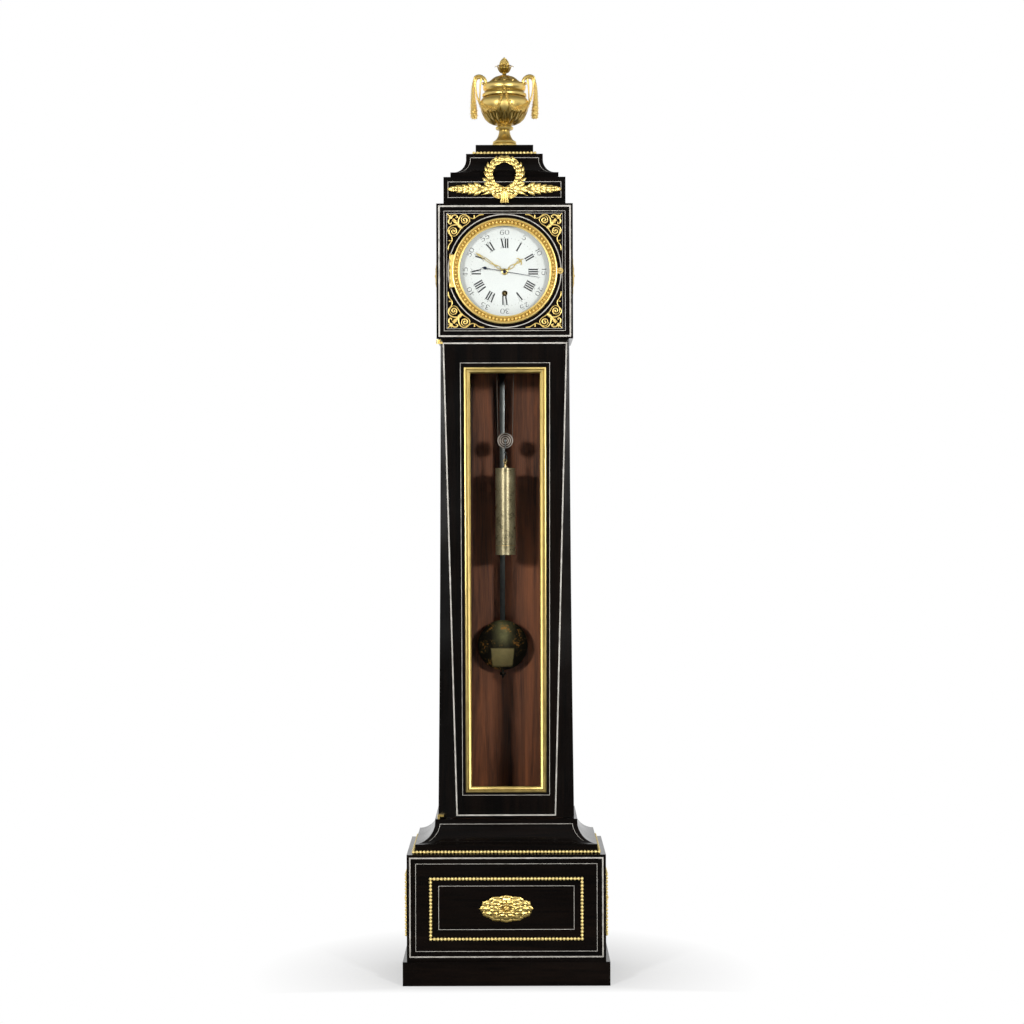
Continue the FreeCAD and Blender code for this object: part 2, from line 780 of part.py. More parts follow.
def build_door():
    foot, middle, head = trunk_edge(zero)
    left = [Vector(-corner.x, 0, corner.z) for corner in (foot, middle, head)]
    wire = Part.Wire([
        Part.LineSegment(left[0], foot).toShape(),
        Part.Arc(foot, middle, head).toShape(),
        Part.LineSegment(head, left[2]).toShape(),
        Part.Arc(left[2], left[1], left[0]).toShape(),
    ])
    slab = Part.Face(wire).extrude(Vector(0, float(dim.door_thickness), 0))
    slab.translate(Vector(0, float(trunk_front), 0))
    wide = trunk_foot_half + dim.overrun
    slab = slab.common(solid_block((-wide, trunk_front - dim.overrun, door_low),
                                   (wide, door_back + dim.overrun, door_high)))
    rebate = trunk_front + dim.glass_setback
    facet = corner_facet()
    slab = slab.cut([facet, mirrored(facet),
                     window_panel(zero, trunk_front - dim.overrun, rebate),
                     window_panel(dim.glass_rebate, rebate, door_back + dim.overrun)])
    shaped("trunk_door", slab.removeSplitter())

    steps = []
    for step, height in enumerate((1, 2, 1)):
        margin = dim.window_frame_width - dim.window_reed_width * step
        front = trunk_front - dim.window_reed_depth * height
        steps.append(window_panel(margin, front, trunk_front))
    frame = steps[0].fuse(steps[1])
    inner_frame = window_panel(dim.window_frame_width - dim.window_reed_width * 2,
                               trunk_front - dim.window_reed_depth * 3, trunk_front - dim.window_reed_depth)
    frame = frame.cut([inner_frame, window_panel(zero, trunk_front - dim.window_frame_width, trunk_front)])
    shaped("window_frame", frame.removeSplitter())

    pane = window_panel(dim.glass_rebate - dim.seam_gap, rebate, rebate + dim.glass_thickness)
    shaped("door_glass", pane)

    # Pivot hinges: a strap and knuckle on the door at each end, a fixed strap above and a post below.
    radius = dim.knuckle_radius
    top_knuckle_high = door_high - dim.knuckle_height - dim.seam_gap
    top_knuckle_low = top_knuckle_high - dim.knuckle_height
    low_knuckle_low = trunk_base + dim.knuckle_height + dim.seam_gap
    low_knuckle_high = low_knuckle_low + dim.knuckle_height
    door_leaves = []
    for low, high, reach in ((top_knuckle_low, top_knuckle_high, dim.hinge_strap_width * 2),
                             (low_knuckle_low, low_knuckle_high, dim.facet_depth + dim.hinge_strap_width * 2)):
        strap = solid_block((hinge_x, hinge_y - dim.hinge_strap_width / 2, low),
                            (hinge_x + dim.hinge_leaf_length, hinge_y + reach, high)).cut(slab)
        strap = max(strap.Solids, key=lambda piece: piece.Volume)
        knuckle = rod_along_z((hinge_x, hinge_y), radius, low, high)
        bore = rod_along_z((hinge_x, hinge_y), dim.hinge_pin_radius + dim.running_gap,
                           low - dim.overrun, high + dim.overrun)
        door_leaves.append(strap.fuse(knuckle).cut(slab).cut(bore).removeSplitter())
    shaped("door_hinge_leaves", Part.makeCompound(door_leaves))

    strap_low = top_knuckle_high + dim.seam_gap
    strap_right = Size(-trunk_half_at(strap_low), "0") - dim.seam_gap
    strap = solid_block((strap_right - dim.hinge_strap_width * 2, hinge_y, strap_low),
                        (strap_right, hinge_y + dim.hinge_strap_length + dim.door_thickness, door_high))
    strap = strap.fuse(rod_along_z((hinge_x, hinge_y), radius, strap_low, door_high))
    pad_front = door_back + dim.seam_gap
    ear = solid_block((strap_right, pad_front + dim.seam_gap, strap_low),
                      (strap_right + dim.hinge_strap_width * 2, pad_front + dim.hinge_strap_length, door_high))
    sides = doc.getObject("trunk_sides").Shape
    strap = strap.fuse(ear).cut(sides)
    strap = max(strap.Solids, key=lambda piece: piece.Volume)
    pin = rod_along_z((hinge_x, hinge_y), dim.hinge_pin_radius, top_knuckle_low + dim.seam_gap, strap_low)
    upper = strap.fuse(pin).removeSplitter()
    post = rod_along_z((hinge_x, hinge_y), radius, trunk_base, low_knuckle_low - dim.seam_gap)
    post_pin = rod_along_z((hinge_x, hinge_y), dim.hinge_pin_radius, low_knuckle_low - dim.seam_gap,
                           low_knuckle_high - dim.seam_gap)
    shaped("door_hinge_pins", Part.makeCompound([upper, post.fuse(post_pin).removeSplitter()]))


def build_hood():
    inner = hood_half - dim.hood_side_thickness
    panel_back = hood_front + dim.hood_side_thickness
    side = solid_block((inner, panel_back, trunk_top), (hood_half, back_plane, hood_top))
    shaped("hood_sides", Part.makeCompound([side, mirrored(side)]))
    block("hood_top_board", (-inner, panel_back, hood_top - dim.hood_top_thickness), (inner, back_plane, hood_top))

    panel = doc.addObject("Part::Box", "hood_front_panel")
    panel.setExpression("Length", (hood_half * 2).formula)
    panel.setExpression("Width", dim.hood_side_thickness.formula)
    panel.setExpression("Height", dim.hood_height.formula)
    for axis, place in zip("xyz", (-hood_half, hood_front, trunk_top)):
        panel.setExpression(f"Placement.Base.{axis}", place.formula)
    hole = doc.addObject("Part::Cylinder", "hood_front_hole")
    hole.setExpression("Radius", (dial_radius - dim.dial_opening_inset).formula)
    hole.setExpression("Height", (dim.hood_side_thickness + dim.overrun * 2).formula)
    hole.Placement = FreeCAD.Placement(Vector(0, 0, 0), FreeCAD.Rotation(Vector(1, 0, 0), -90))
    hole.setExpression("Placement.Base.y", (hood_front - dim.overrun).formula)
    hole.setExpression("Placement.Base.z", dial_height.formula)
    front = doc.addObject("Part::Cut", "hood_front")
    front.Base = panel
    front.Tool = hole

    block("upper_block", (-upper_half, upper_front, hood_top), (upper_half, back_plane, upper_top))
    cavetto_block("cap_moulding", cap_half, cap_front, upper_top, cap_fillet_top,
                  dim.cap_cavetto_radius, cap_lip_half, cap_lip_front, cap_top)
    block("top_block", (-top_half, top_front, cap_top), (top_half, back_plane, case_top))
    shaped("cap_bead_strip", strip_around(top_half + dim.bead_strip_gap, top_front - dim.bead_strip_gap,
                                          cap_top, dim.bead_size))


def build_hood_mounts():
    outer = hood_half * width_shares["spandrel_corner_share"]
    front = hood_front - dim.spandrel_thickness
    circle = rod_along_y((zero, dial_height), hood_half * width_shares["spandrel_circle_share"],
                         front - dim.overrun, hood_front + dim.overrun)
    inner = outer - hood_half * width_shares["spandrel_leg_share"]
    plate = front_prism([(inner, dial_height + inner), (outer, dial_height + inner), (outer, dial_height + outer),
                         (inner, dial_height + outer)], front, hood_front).cut(circle)
    eye = dim.spandrel_eye_radius
    near = outer - eye * 2
    far = inner + eye * 3
    for across, up in ((near, near), (near, far), (far, near)):
        height = dial_height + up
        diamond = [(across - eye, height), (across, height - eye), (across + eye, height), (across, height + eye)]
        plate = plate.cut(front_prism(diamond, front - dim.overrun, hood_front + dim.overrun))
    upside = plate.mirror(point(zero, zero, dial_height), Vector(0, 0, 1))
    shaped("corner_spandrels", Part.makeCompound([plate, mirrored(plate), upside, mirrored(upside)]))

    half_width = dim.side_mount_width / 2
    half_height = dim.side_mount_height / 2
    lozenge = front_prism([(-half_width, zero), (zero, -half_height), (half_width, zero), (zero, half_height)],
                          -dim.side_mount_thickness, zero)
    boss = rod_along_y((zero, zero), dim.side_mount_boss_radius, -dim.side_mount_boss_depth,
                       -dim.side_mount_thickness)
    side_depth = (hood_front + back_plane) / 2
    shaped("side_mounts", Part.makeCompound(on_sides(lozenge.fuse(boss), hood_half, side_depth, dial_height)))


def build_wreath():
    """A laurel ring on crossed branches, tied with a ribbon, standing on the front of the upper block."""
    height = upper_top + dim.wreath_rise
    inner = dim.wreath_inner_radius
    outer = dim.wreath_outer_radius
    back = upper_front
    front = back - dim.wreath_depth
    ring = turned_shape("Y", [(inner, front), (outer, front), (outer, back), (inner, back)], (zero, zero, height))
    branch_height = height - dim.branch_drop
    tip = upper_half * width_shares["branch_share"]
    rise = dim.branch_height / 2
    thick = dim.branch_depth
    branches = front_prism([(-tip, branch_height), (-tip * 0.6, branch_height - rise), (zero, branch_height - rise / 2),
                            (tip * 0.6, branch_height - rise), (tip, branch_height),
                            (tip * 0.6, branch_height + rise), (-tip * 0.6, branch_height + rise)],
                           back - thick, back)
    bow_half = dim.ribbon_width / 2
    bow = dim.ribbon_height / 2
    knot = front_prism([(-bow_half, branch_height - bow), (zero, branch_height), (bow_half, branch_height - bow),
                        (bow_half, branch_height), (zero, branch_height + bow), (-bow_half, branch_height)],
                       front, back)
    tail_half = dim.ribbon_tail_width / 2
    tail_low = branch_height - dim.ribbon_tail_height / 2
    tail = front_prism([(-tail_half, tail_low), (tail_half, tail_low), (tail_half / 2, branch_height + bow),
                        (-tail_half / 2, branch_height + bow)], front, back)
    shaped("wreath_mount", ring.fuse([branches, knot, tail]).removeSplitter())


def build_urn():
    """A covered urn on a turned foot, with scroll handles and garlands at its sides."""
    place = (zero, (top_front + back_plane) / 2, case_top)
    socle_top = dim.socle_height
    torus_top = socle_top + dim.foot_torus_height
    neck_top = torus_top + dim.foot_neck_height
    collar_top = neck_top + dim.foot_collar_height
    foot = turned_shape("Z", [
        (zero, zero), (dim.socle_radius, zero), (dim.socle_radius, torus_top),
        (dim.foot_step_radius, torus_top), (dim.foot_neck_radius, neck_top),
        (dim.foot_collar_radius, neck_top), (dim.foot_collar_radius, collar_top), (zero, collar_top),
    ], place)
    belly_low = collar_top + dim.bowl_seat_height
    belly_top = belly_low + dim.bowl_belly_height
    shoulder_top = belly_top + dim.bowl_shoulder_height
    band_top = shoulder_top + dim.bowl_ring_height + dim.bowl_band_height
    bowl = turned_shape("Z", [
        (zero, collar_top),
        (dim.bowl_seat_radius, collar_top),
        *quarter((dim.bowl_seat_radius, belly_low), (dim.bowl_radius, belly_top), 3)[1:],
        (dim.bowl_radius, belly_top),
        (dim.bowl_band_radius, shoulder_top),
        (dim.bowl_band_radius, band_top),
        (zero, band_top),
    ], place)
    shoulder = band_top + dim.lid_rim_height + dim.lid_rise
    neck = shoulder + dim.lid_neck_rise
    cup_top = neck + dim.leaf_cup_height
    lid = turned_shape("Z", [
        (zero, band_top), (dim.lid_rim_radius, band_top), (dim.lid_shoulder_radius, shoulder),
        (dim.lid_neck_radius, neck), (dim.leaf_cup_radius, cup_top), (dim.cone_radius, cup_top),
        (zero, cup_top + dim.cone_height),
    ], place)

    # Scroll handles: up from the belly, over the crest and down to a hanging garland.
    plane = float(place[1])
    floor = float(case_top)
    root = Vector(float(dim.bowl_band_radius), plane, floor + float(dim.handle_root_height))
    crest = Vector(float(dim.handle_reach), plane, floor + float(dim.handle_crest_height))
    garland_top = Vector(float(dim.garland_reach), plane, floor + float(dim.garland_top_height))
    scroll = float(dim.handle_scroll_radius)
    inner_bend = (root + crest) / 2 - Vector(scroll / 2, 0, 0)
    outer_bend = (crest + garland_top) / 2 + Vector(scroll, 0, scroll)
    path = Part.Wire([Part.Arc(root, inner_bend, crest).toShape(),
                      Part.Arc(crest, outer_bend, garland_top).toShape()])
    half = float(dim.handle_width) / 2
    corners = [root + Vector(0, across, up) for across, up in
               ((-half, -half), (half, -half), (half, half), (-half, half))]
    section = Part.makePolygon(corners + corners[:1])
    scroll_bar = path.makePipeShell([section], True, True, 1)
    garland = rod_along_z((dim.garland_reach, place[1]), dim.garland_radius,
                          case_top + dim.garland_top_height - dim.garland_length,
                          case_top + dim.garland_top_height + dim.garland_radius)
    handle = scroll_bar.fuse(garland).cut(bowl)
    handle = max(handle.removeSplitter().Solids, key=lambda piece: piece.Volume)
    shaped("urn", Part.makeCompound([foot, bowl, lid, handle, mirrored(handle)]))


bezel_back = hood_front - dim.seam_gap


def build_bezel():
    outer = bezel_outer
    inner = bezel_inner
    flange_front = bezel_back - dim.bezel_flange_depth
    crown_front = bezel_back - dim.bezel_depth
    glass_front = bezel_back - dim.bezel_glass_thickness
    crown_out = outer - dim.bezel_rim_width
    ring = turned_shape("Y", [
        (inner, bezel_back), (outer, bezel_back), (outer, flange_front), (crown_out, crown_front),
        (inner, flange_front),
    ], (zero, zero, dial_height))
    axis_x = -bezel_outer - dim.bezel_hinge_gap
    axis_y = bezel_back - dim.bezel_hinge_radius
    web_half = dim.bezel_web_length / 2
    web = solid_block((axis_x, flange_front, dial_height - web_half),
                      (-inner, bezel_back, dial_height + web_half))
    web = web.cut(rod_along_y((zero, dial_height), outer - dim.bezel_rim_width, flange_front - dim.overrun,
                              bezel_back + dim.overrun))
    knuckle = rod_along_z((axis_x, axis_y), dim.bezel_hinge_radius, dial_height - web_half, dial_height + web_half)
    bore = rod_along_z((axis_x, axis_y), dim.hinge_pin_radius + dim.running_gap,
                       dial_height - dim.bezel_hinge_length, dial_height + dim.bezel_hinge_length)
    tab_place = (bezel_outer + dim.latch_gap, dial_height)
    tab = rod_along_y(tab_place, dim.latch_tab_radius, flange_front, bezel_back)
    tab = tab.cut(rod_along_y((zero, dial_height), outer - dim.bezel_rim_width, flange_front - dim.overrun,
                              bezel_back + dim.overrun))
    stem_bore = rod_along_y(tab_place, dim.latch_stem_radius + dim.running_gap,
                            flange_front - dim.overrun, bezel_back + dim.overrun)
    shaped("bezel_ring", ring.fuse([web, knuckle, tab]).cut(bore).cut(stem_bore).removeSplitter())

    turned("bezel_glass", "Y", [
        (zero, glass_front), (inner - dim.running_gap, glass_front), (inner - dim.running_gap, bezel_back),
        (zero, bezel_back),
    ], (zero, zero, dial_height))
    knob_front = flange_front - dim.latch_depth
    turned("bezel_latch", "Y", [
        (zero, knob_front), (dim.latch_radius, knob_front),
        (dim.latch_radius, flange_front - dim.seam_gap), (dim.latch_stem_radius, flange_front - dim.seam_gap),
        (dim.latch_stem_radius, bezel_back), (zero, bezel_back),
    ], (tab_place[0], zero, tab_place[1]))

    # The fixed leaf on the hood, with a knuckle above and below the bezel's own and the pin through all three.
    half = dim.bezel_hinge_length / 2
    leaf_right = axis_x + dim.bezel_hinge_radius
    leaf = solid_block((leaf_right - dim.bezel_leaf_width, bezel_back + dim.seam_gap - dim.bezel_leaf_thickness,
                        dial_height - half), (axis_x, hood_front, dial_height + half))
    pin = rod_along_z((axis_x, axis_y), dim.hinge_pin_radius, dial_height - half, dial_height + half)
    clear = solid_block((leaf_right - dim.bezel_leaf_width - dim.overrun, hood_front - dim.bezel_depth * 2,
                         dial_height - web_half - dim.seam_gap),
                        (leaf_right + dim.overrun, hood_front + dim.overrun, dial_height + web_half + dim.seam_gap))
    pieces = []
    for low, high in ((dial_height - half, dial_height - web_half - dim.seam_gap),
                      (dial_height + web_half + dim.seam_gap, dial_height + half)):
        pieces.append(rod_along_z((axis_x, axis_y), dim.bezel_hinge_radius, low, high))
    fixed = leaf.cut(clear).fuse(pieces + [pin]).cut(
        solid_block((axis_x - dim.bezel_leaf_width * 2, hood_front, dial_height - half),
                    (zero, hood_front + dim.overrun, dial_height + half)))
    shaped("bezel_hinge", fixed.removeSplitter())


front_plate_front = hood_front + dim.hood_side_thickness + dim.dial_clearance + dim.dial_thickness \
    + dim.front_plate_setback
front_plate_back = front_plate_front + dim.plate_thickness
back_plate_front = front_plate_back + dim.plate_spacing
back_plate_back = back_plate_front + dim.plate_thickness
seat_top = dial_height - dim.seat_drop
seat_low = seat_top - dim.seat_board_thickness
dial_front = hood_front + dim.hood_side_thickness + dim.dial_clearance
dial_back = dial_front + dim.dial_thickness
barrel_height = dial_height - dim.winding_drop
anchor_height = dial_height + dim.suspension_height


def circle_meeting(first, first_reach, second, second_reach, side):
    """The point at two given distances from two others; side picks the left or right one."""
    across = second - first
    gap = across.Length
    along = (first_reach ** 2 - second_reach ** 2 + gap ** 2) / (2 * gap)
    off = math.sqrt(max(first_reach ** 2 - along ** 2, 0.0))
    across.normalize()
    left = Vector(-across.z, 0, across.x)
    return first + across * along + left * off * side


# Train centres seen from the front; a wheel and pinion stand at half the sum of their teeth times the module.
barrel_centre = point(zero, zero, barrel_height)
dial_centre = point(zero, zero, dial_height)
middle_centre = circle_meeting(barrel_centre, float(dim.great_module) * (great_teeth + pinion_leaves) / 2,
                               dial_centre, float(dim.middle_arbor_reach), 1)
third_centre = circle_meeting(middle_centre, float(dim.middle_module) * (middle_teeth + pinion_leaves) / 2,
                              dial_centre, float(dim.third_module) * (third_teeth + pinion_leaves) / 2, 1)
motion_distance = float(dim.motion_module) * (motion_teeth + cannon_teeth) / 2
motion_centre = circle_meeting(middle_centre, motion_distance, dial_centre, motion_distance, -1)
anchor_centre = point(zero, zero, anchor_height)


def heading(first, second):
    """Direction from one centre to another, in degrees from +X towards +Z."""
    return math.degrees(math.atan2(second.z - first.z, second.x - first.x))


def meshed(driver, driver_teeth, driver_phase, driven, driven_teeth):
    """The angle of one tooth of a driven wheel whose gap meets the driver's tooth."""
    line = heading(driver, driven)
    pitch = 360 / driver_teeth
    offset = (driver_phase - line + pitch / 2) % pitch - pitch / 2
    gap_angle = line + 180 - offset * driver_teeth / driven_teeth
    return gap_angle + 180 / driven_teeth


def toothed(centre, teeth, module, phase, front, back, pinion=False):
    """A spur wheel or pinion with tapering teeth, its axis along Y."""
    pitch_radius = module * teeth / 2
    head_share, root_share = (0.78, 1.25) if not pinion else (0.72, 1.15)
    tip_width_share, root_width_share = (0.15, 0.42) if not pinion else (0.14, 0.36)
    tip = pitch_radius + head_share * module
    root = pitch_radius - root_share * module
    step = 2 * math.pi / teeth
    places = []
    for tooth in range(teeth):
        angle = math.radians(phase) + tooth * step
        for radius, turn in ((root, -root_width_share), (tip, -tip_width_share),
                             (tip, tip_width_share), (root, root_width_share)):
            way = angle + turn * step / 2 * pitch_radius / radius
            places.append(Vector(centre.x + radius * math.cos(way), float(front),
                                 centre.z + radius * math.sin(way)))
    face = Part.Face(Part.makePolygon(places + places[:1]))
    return face.extrude(Vector(0, float(back - front), 0))


def crossed_out(wheel, centre, rim_radius, front, back):
    """Cuts the wheel through between its arms, with a straight side to each opening along rim and hub."""
    step = math.pi / wheel_arms
    hub = float(dim.wheel_hub_radius)
    arm = float(dim.wheel_arm_width) / 2
    windows = []
    for number in range(wheel_arms):
        middle = 2 * step * (number + 0.5)
        places = []
        for radius, side in ((hub, -1), (rim_radius, -1), (rim_radius, 1), (hub, 1)):
            turn = middle + side * (step - math.asin(arm / radius))
            places.append(Vector(centre.x + radius * math.cos(turn), float(front - dim.overrun),
                                 centre.z + radius * math.sin(turn)))
        windows.append(Part.Face(Part.makePolygon(places + places[:1])).extrude(
            Vector(0, float(back - front + dim.overrun * 2), 0)))
    return wheel.cut(windows)


def plate_holes(front, back):
    """Pivot holes for every arbor through one plate."""
    holes = []
    for centre in (barrel_centre, middle_centre, third_centre, dial_centre, anchor_centre):
        radius = dim.barrel_arbor_radius if centre is barrel_centre else dim.arbor_radius
        holes.append(Part.makeCylinder(float(radius + dim.running_gap), float(back - front + dim.overrun * 2),
                                       Vector(centre.x, float(front - dim.overrun), centre.z), Vector(0, 1, 0)))
    return holes


def build_movement_frame():
    cheek_outer = hood_half - dim.hood_side_thickness - dim.hood_clearance
    cheek_inner = cheek_outer - dim.seat_cheek_width
    seat_front = front_plate_front - dim.plate_thickness
    seat_back = seat_front + dim.seat_board_depth
    cheek = solid_block((cheek_inner, seat_front, trunk_top), (cheek_outer, seat_back, seat_low))
    board = solid_block((-cheek_outer, seat_front, seat_low), (cheek_outer, seat_back, seat_top))
    slot_front = dim.weight_plane - dim.gut_slot_depth / 2
    slot = solid_block((-dim.gut_slot_left, slot_front, seat_low - dim.overrun),
                       (dim.gut_slot_right, slot_front + dim.gut_slot_depth, seat_top + dim.overrun))
    shaped("seat_board", board.cut(slot).fuse([cheek, mirrored(cheek)]).removeSplitter())

    half = dim.plate_width / 2
    plates = []
    for front, back in ((front_plate_front, front_plate_back), (back_plate_front, back_plate_back)):
        plate = solid_block((-half, front, seat_top), (half, back, seat_top + dim.plate_height))
        plates.append(plate.cut(plate_holes(front, back)))
    stud = rod_along_y(place_of(motion_centre), dim.motion_stud_radius, hour_front - dim.hand_thickness,
                       front_plate_front)
    pillars = [stud]
    for across in (-half + dim.pillar_inset, half - dim.pillar_inset):
        for up in (seat_top + dim.pillar_inset, seat_top + dim.plate_height - dim.pillar_inset):
            pillars.append(rod_along_y((across, up), dim.pillar_radius, front_plate_back, back_plate_front))
    shaped("movement_plates", plates[0].fuse([plates[1]] + pillars).removeSplitter())


def build_dial():
    disc = rod_along_y((zero, dial_height), dial_radius, dial_front, dial_back)
    for hole_height, radius in ((dial_height, dim.dial_centre_hole), (barrel_height, dim.winding_hole_radius)):
        disc = disc.cut(rod_along_y((zero, hole_height), radius, dial_front - dim.overrun, dial_back + dim.overrun))
    feet = []
    for turn in dial_foot_angles:
        across = dim.dial_foot_circle * math.sin(math.radians(turn))
        up = dim.dial_foot_circle * math.cos(math.radians(turn))
        feet.append(rod_along_y((across, dial_height + up), dim.dial_foot_radius, dial_back, front_plate_front))
    shaped("dial", disc.fuse(feet).removeSplitter())


def arbor(centre, radius, front, back):
    return rod_along_y(place_of(centre), radius, front, back)


def place_of(centre):
    return Size(centre.x, "0"), Size(centre.z, "0")


great_front = front_plate_back + dim.great_wheel_setback
great_back = great_front + dim.wheel_thickness
barrel_front = dim.weight_plane - dim.barrel_length / 2
barrel_back = barrel_front + dim.barrel_length
great_phase = heading(barrel_centre, middle_centre)
middle_pinion_phase = meshed(barrel_centre, great_teeth, great_phase, middle_centre, pinion_leaves)
middle_phase = heading(middle_centre, third_centre)
third_pinion_phase = meshed(middle_centre, middle_teeth, middle_phase, third_centre, pinion_leaves)
third_phase = heading(third_centre, dial_centre)
escape_pinion_phase = meshed(third_centre, third_teeth, third_phase, dial_centre, pinion_leaves)
drive_phase = heading(middle_centre, motion_centre)
motion_phase = meshed(middle_centre, cannon_teeth, drive_phase, motion_centre, motion_teeth)
cannon_phase = meshed(motion_centre, motion_teeth, motion_phase, dial_centre, cannon_teeth)
motion_pinion_phase = heading(motion_centre, dial_centre)
hour_phase = meshed(motion_centre, motion_pinion_teeth, motion_pinion_phase, dial_centre, hour_teeth)


def build_barrel():
    """The barrel and its ratchet on the winding arbor, and the great wheel that runs free on the arbor."""
    centre = place_of(barrel_centre)
    drum_radius = dim.barrel_gut_radius - dim.gut_radius - dim.running_gap
    flange = dim.barrel_flange_thickness
    corners = [
        (zero, barrel_front), (dim.barrel_flange_radius, barrel_front),
        (dim.barrel_flange_radius, barrel_front + flange), (drum_radius, barrel_front + flange),
        (drum_radius, barrel_back - flange), (dim.barrel_flange_radius, barrel_back - flange),
        (dim.barrel_flange_radius, barrel_back), (zero, barrel_back),
    ]
    drum = turned_shape("Y", corners, (zero, zero, barrel_height))

    ratchet_front = great_back + dim.barrel_gap
    radius = float(dim.ratchet_radius)
    root = radius - float(dim.ratchet_tooth_height)
    step = 2 * math.pi / ratchet_teeth
    places = []
    for tooth in range(ratchet_teeth):
        angle = tooth * step
        places.append(Vector(radius * math.cos(angle), 0, radius * math.sin(angle)))
        places.append(Vector(root * math.cos(angle), 0, root * math.sin(angle)))
    ratchet = Part.Face(Part.makePolygon(places + places[:1])).extrude(
        Vector(0, float(barrel_front - ratchet_front), 0))
    ratchet.translate(Vector(0, float(ratchet_front), float(barrel_height)))

    square_front = dial_back + dim.winding_square_gap
    shaft = rod_along_y(centre, dim.barrel_arbor_radius, front_plate_front, back_plate_back)
    side = dim.winding_square / 2
    square = solid_block((-side, square_front, barrel_height - side),
                         (side, front_plate_front, barrel_height + side))
    shaped("winding_barrel", drum.fuse([ratchet, shaft, square]).removeSplitter())

    wheel = toothed(barrel_centre, great_teeth, float(dim.great_module), great_phase, great_front, great_back)
    wheel = wheel.cut(rod_along_y(centre, dim.barrel_arbor_radius + dim.running_gap,
                                  great_front - dim.overrun, great_back + dim.overrun))
    click_low = dim.ratchet_radius + dim.seam_gap
    click = solid_block((-dim.click_length / 2, great_back, barrel_height + click_low),
                        (dim.click_length / 2, barrel_front - dim.seam_gap,
                         barrel_height + click_low + dim.click_width))
    shaped("great_wheel", wheel.fuse(click).removeSplitter())


def wheel_and_pinion(label, centre, teeth, module, phase, wheel_front, pinion_module, leaf_phase,
                     pinion_front, front_drive=None):
    """One arbor of the train with its pinion and crossed-out wheel in one piece."""
    wheel_back = wheel_front + dim.wheel_thickness
    wheel = toothed(centre, teeth, float(module), phase, wheel_front, wheel_back)
    rim = float(module) * teeth / 2 - float(module) - float(dim.wheel_rim_width)
    wheel = crossed_out(wheel, centre, rim, wheel_front, wheel_back)
    pinion = toothed(centre, pinion_leaves, float(pinion_module), leaf_phase, pinion_front,
                     pinion_front + dim.pinion_length, pinion=True)
    pieces = [pinion, arbor(centre, dim.arbor_radius, front_plate_front, back_plate_back)]
    if front_drive:
        pieces.append(front_drive)
    shaped(label, wheel.fuse(pieces).removeSplitter())


motion_back = front_plate_front - dim.motion_wheel_gap
motion_front = motion_back - dim.wheel_thickness
hour_back = front_plate_front - dim.hour_wheel_gap
hour_front = hour_back - dim.wheel_thickness
hour_hand_front = dial_front - dim.hand_spacing
minute_hand_front = hour_hand_front - dim.hand_spacing
second_hand_front = minute_hand_front - dim.hand_spacing


def build_train():
    middle_front = front_plate_back + dim.middle_wheel_setback
    third_front = front_plate_back + dim.third_wheel_setback
    middle_place = place_of(middle_centre)
    drive = toothed(middle_centre, cannon_teeth, float(dim.motion_module), drive_phase,
                    motion_front, motion_back, pinion=True)
    drive_arbor = rod_along_y(middle_place, dim.arbor_radius, motion_front, front_plate_back + dim.overrun)
    lead = (dim.pinion_length - dim.wheel_thickness) / 2
    wheel_and_pinion("middle_wheel", middle_centre, middle_teeth, dim.middle_module, middle_phase, middle_front,
                     dim.great_module, middle_pinion_phase, great_front - lead, drive.fuse(drive_arbor))
    wheel_and_pinion("third_wheel", third_centre, third_teeth, dim.third_module, third_phase, third_front,
                     dim.middle_module, third_pinion_phase, middle_front - lead)
    leaves = toothed(dial_centre, pinion_leaves, float(dim.third_module), escape_pinion_phase,
                     third_front - lead, third_front - lead + dim.pinion_length, pinion=True)
    return leaves.fuse(arbor(dial_centre, dim.arbor_radius, second_hand_front,
                             back_plate_back + dim.escape_wheel_setback + dim.wheel_thickness))


def escape_radius():
    """The wheel's radius, so that pallets at the pallet angle lie square to the arms from the anchor's arbor."""
    return float(dim.suspension_height) * math.cos(math.radians(pallet_angle))


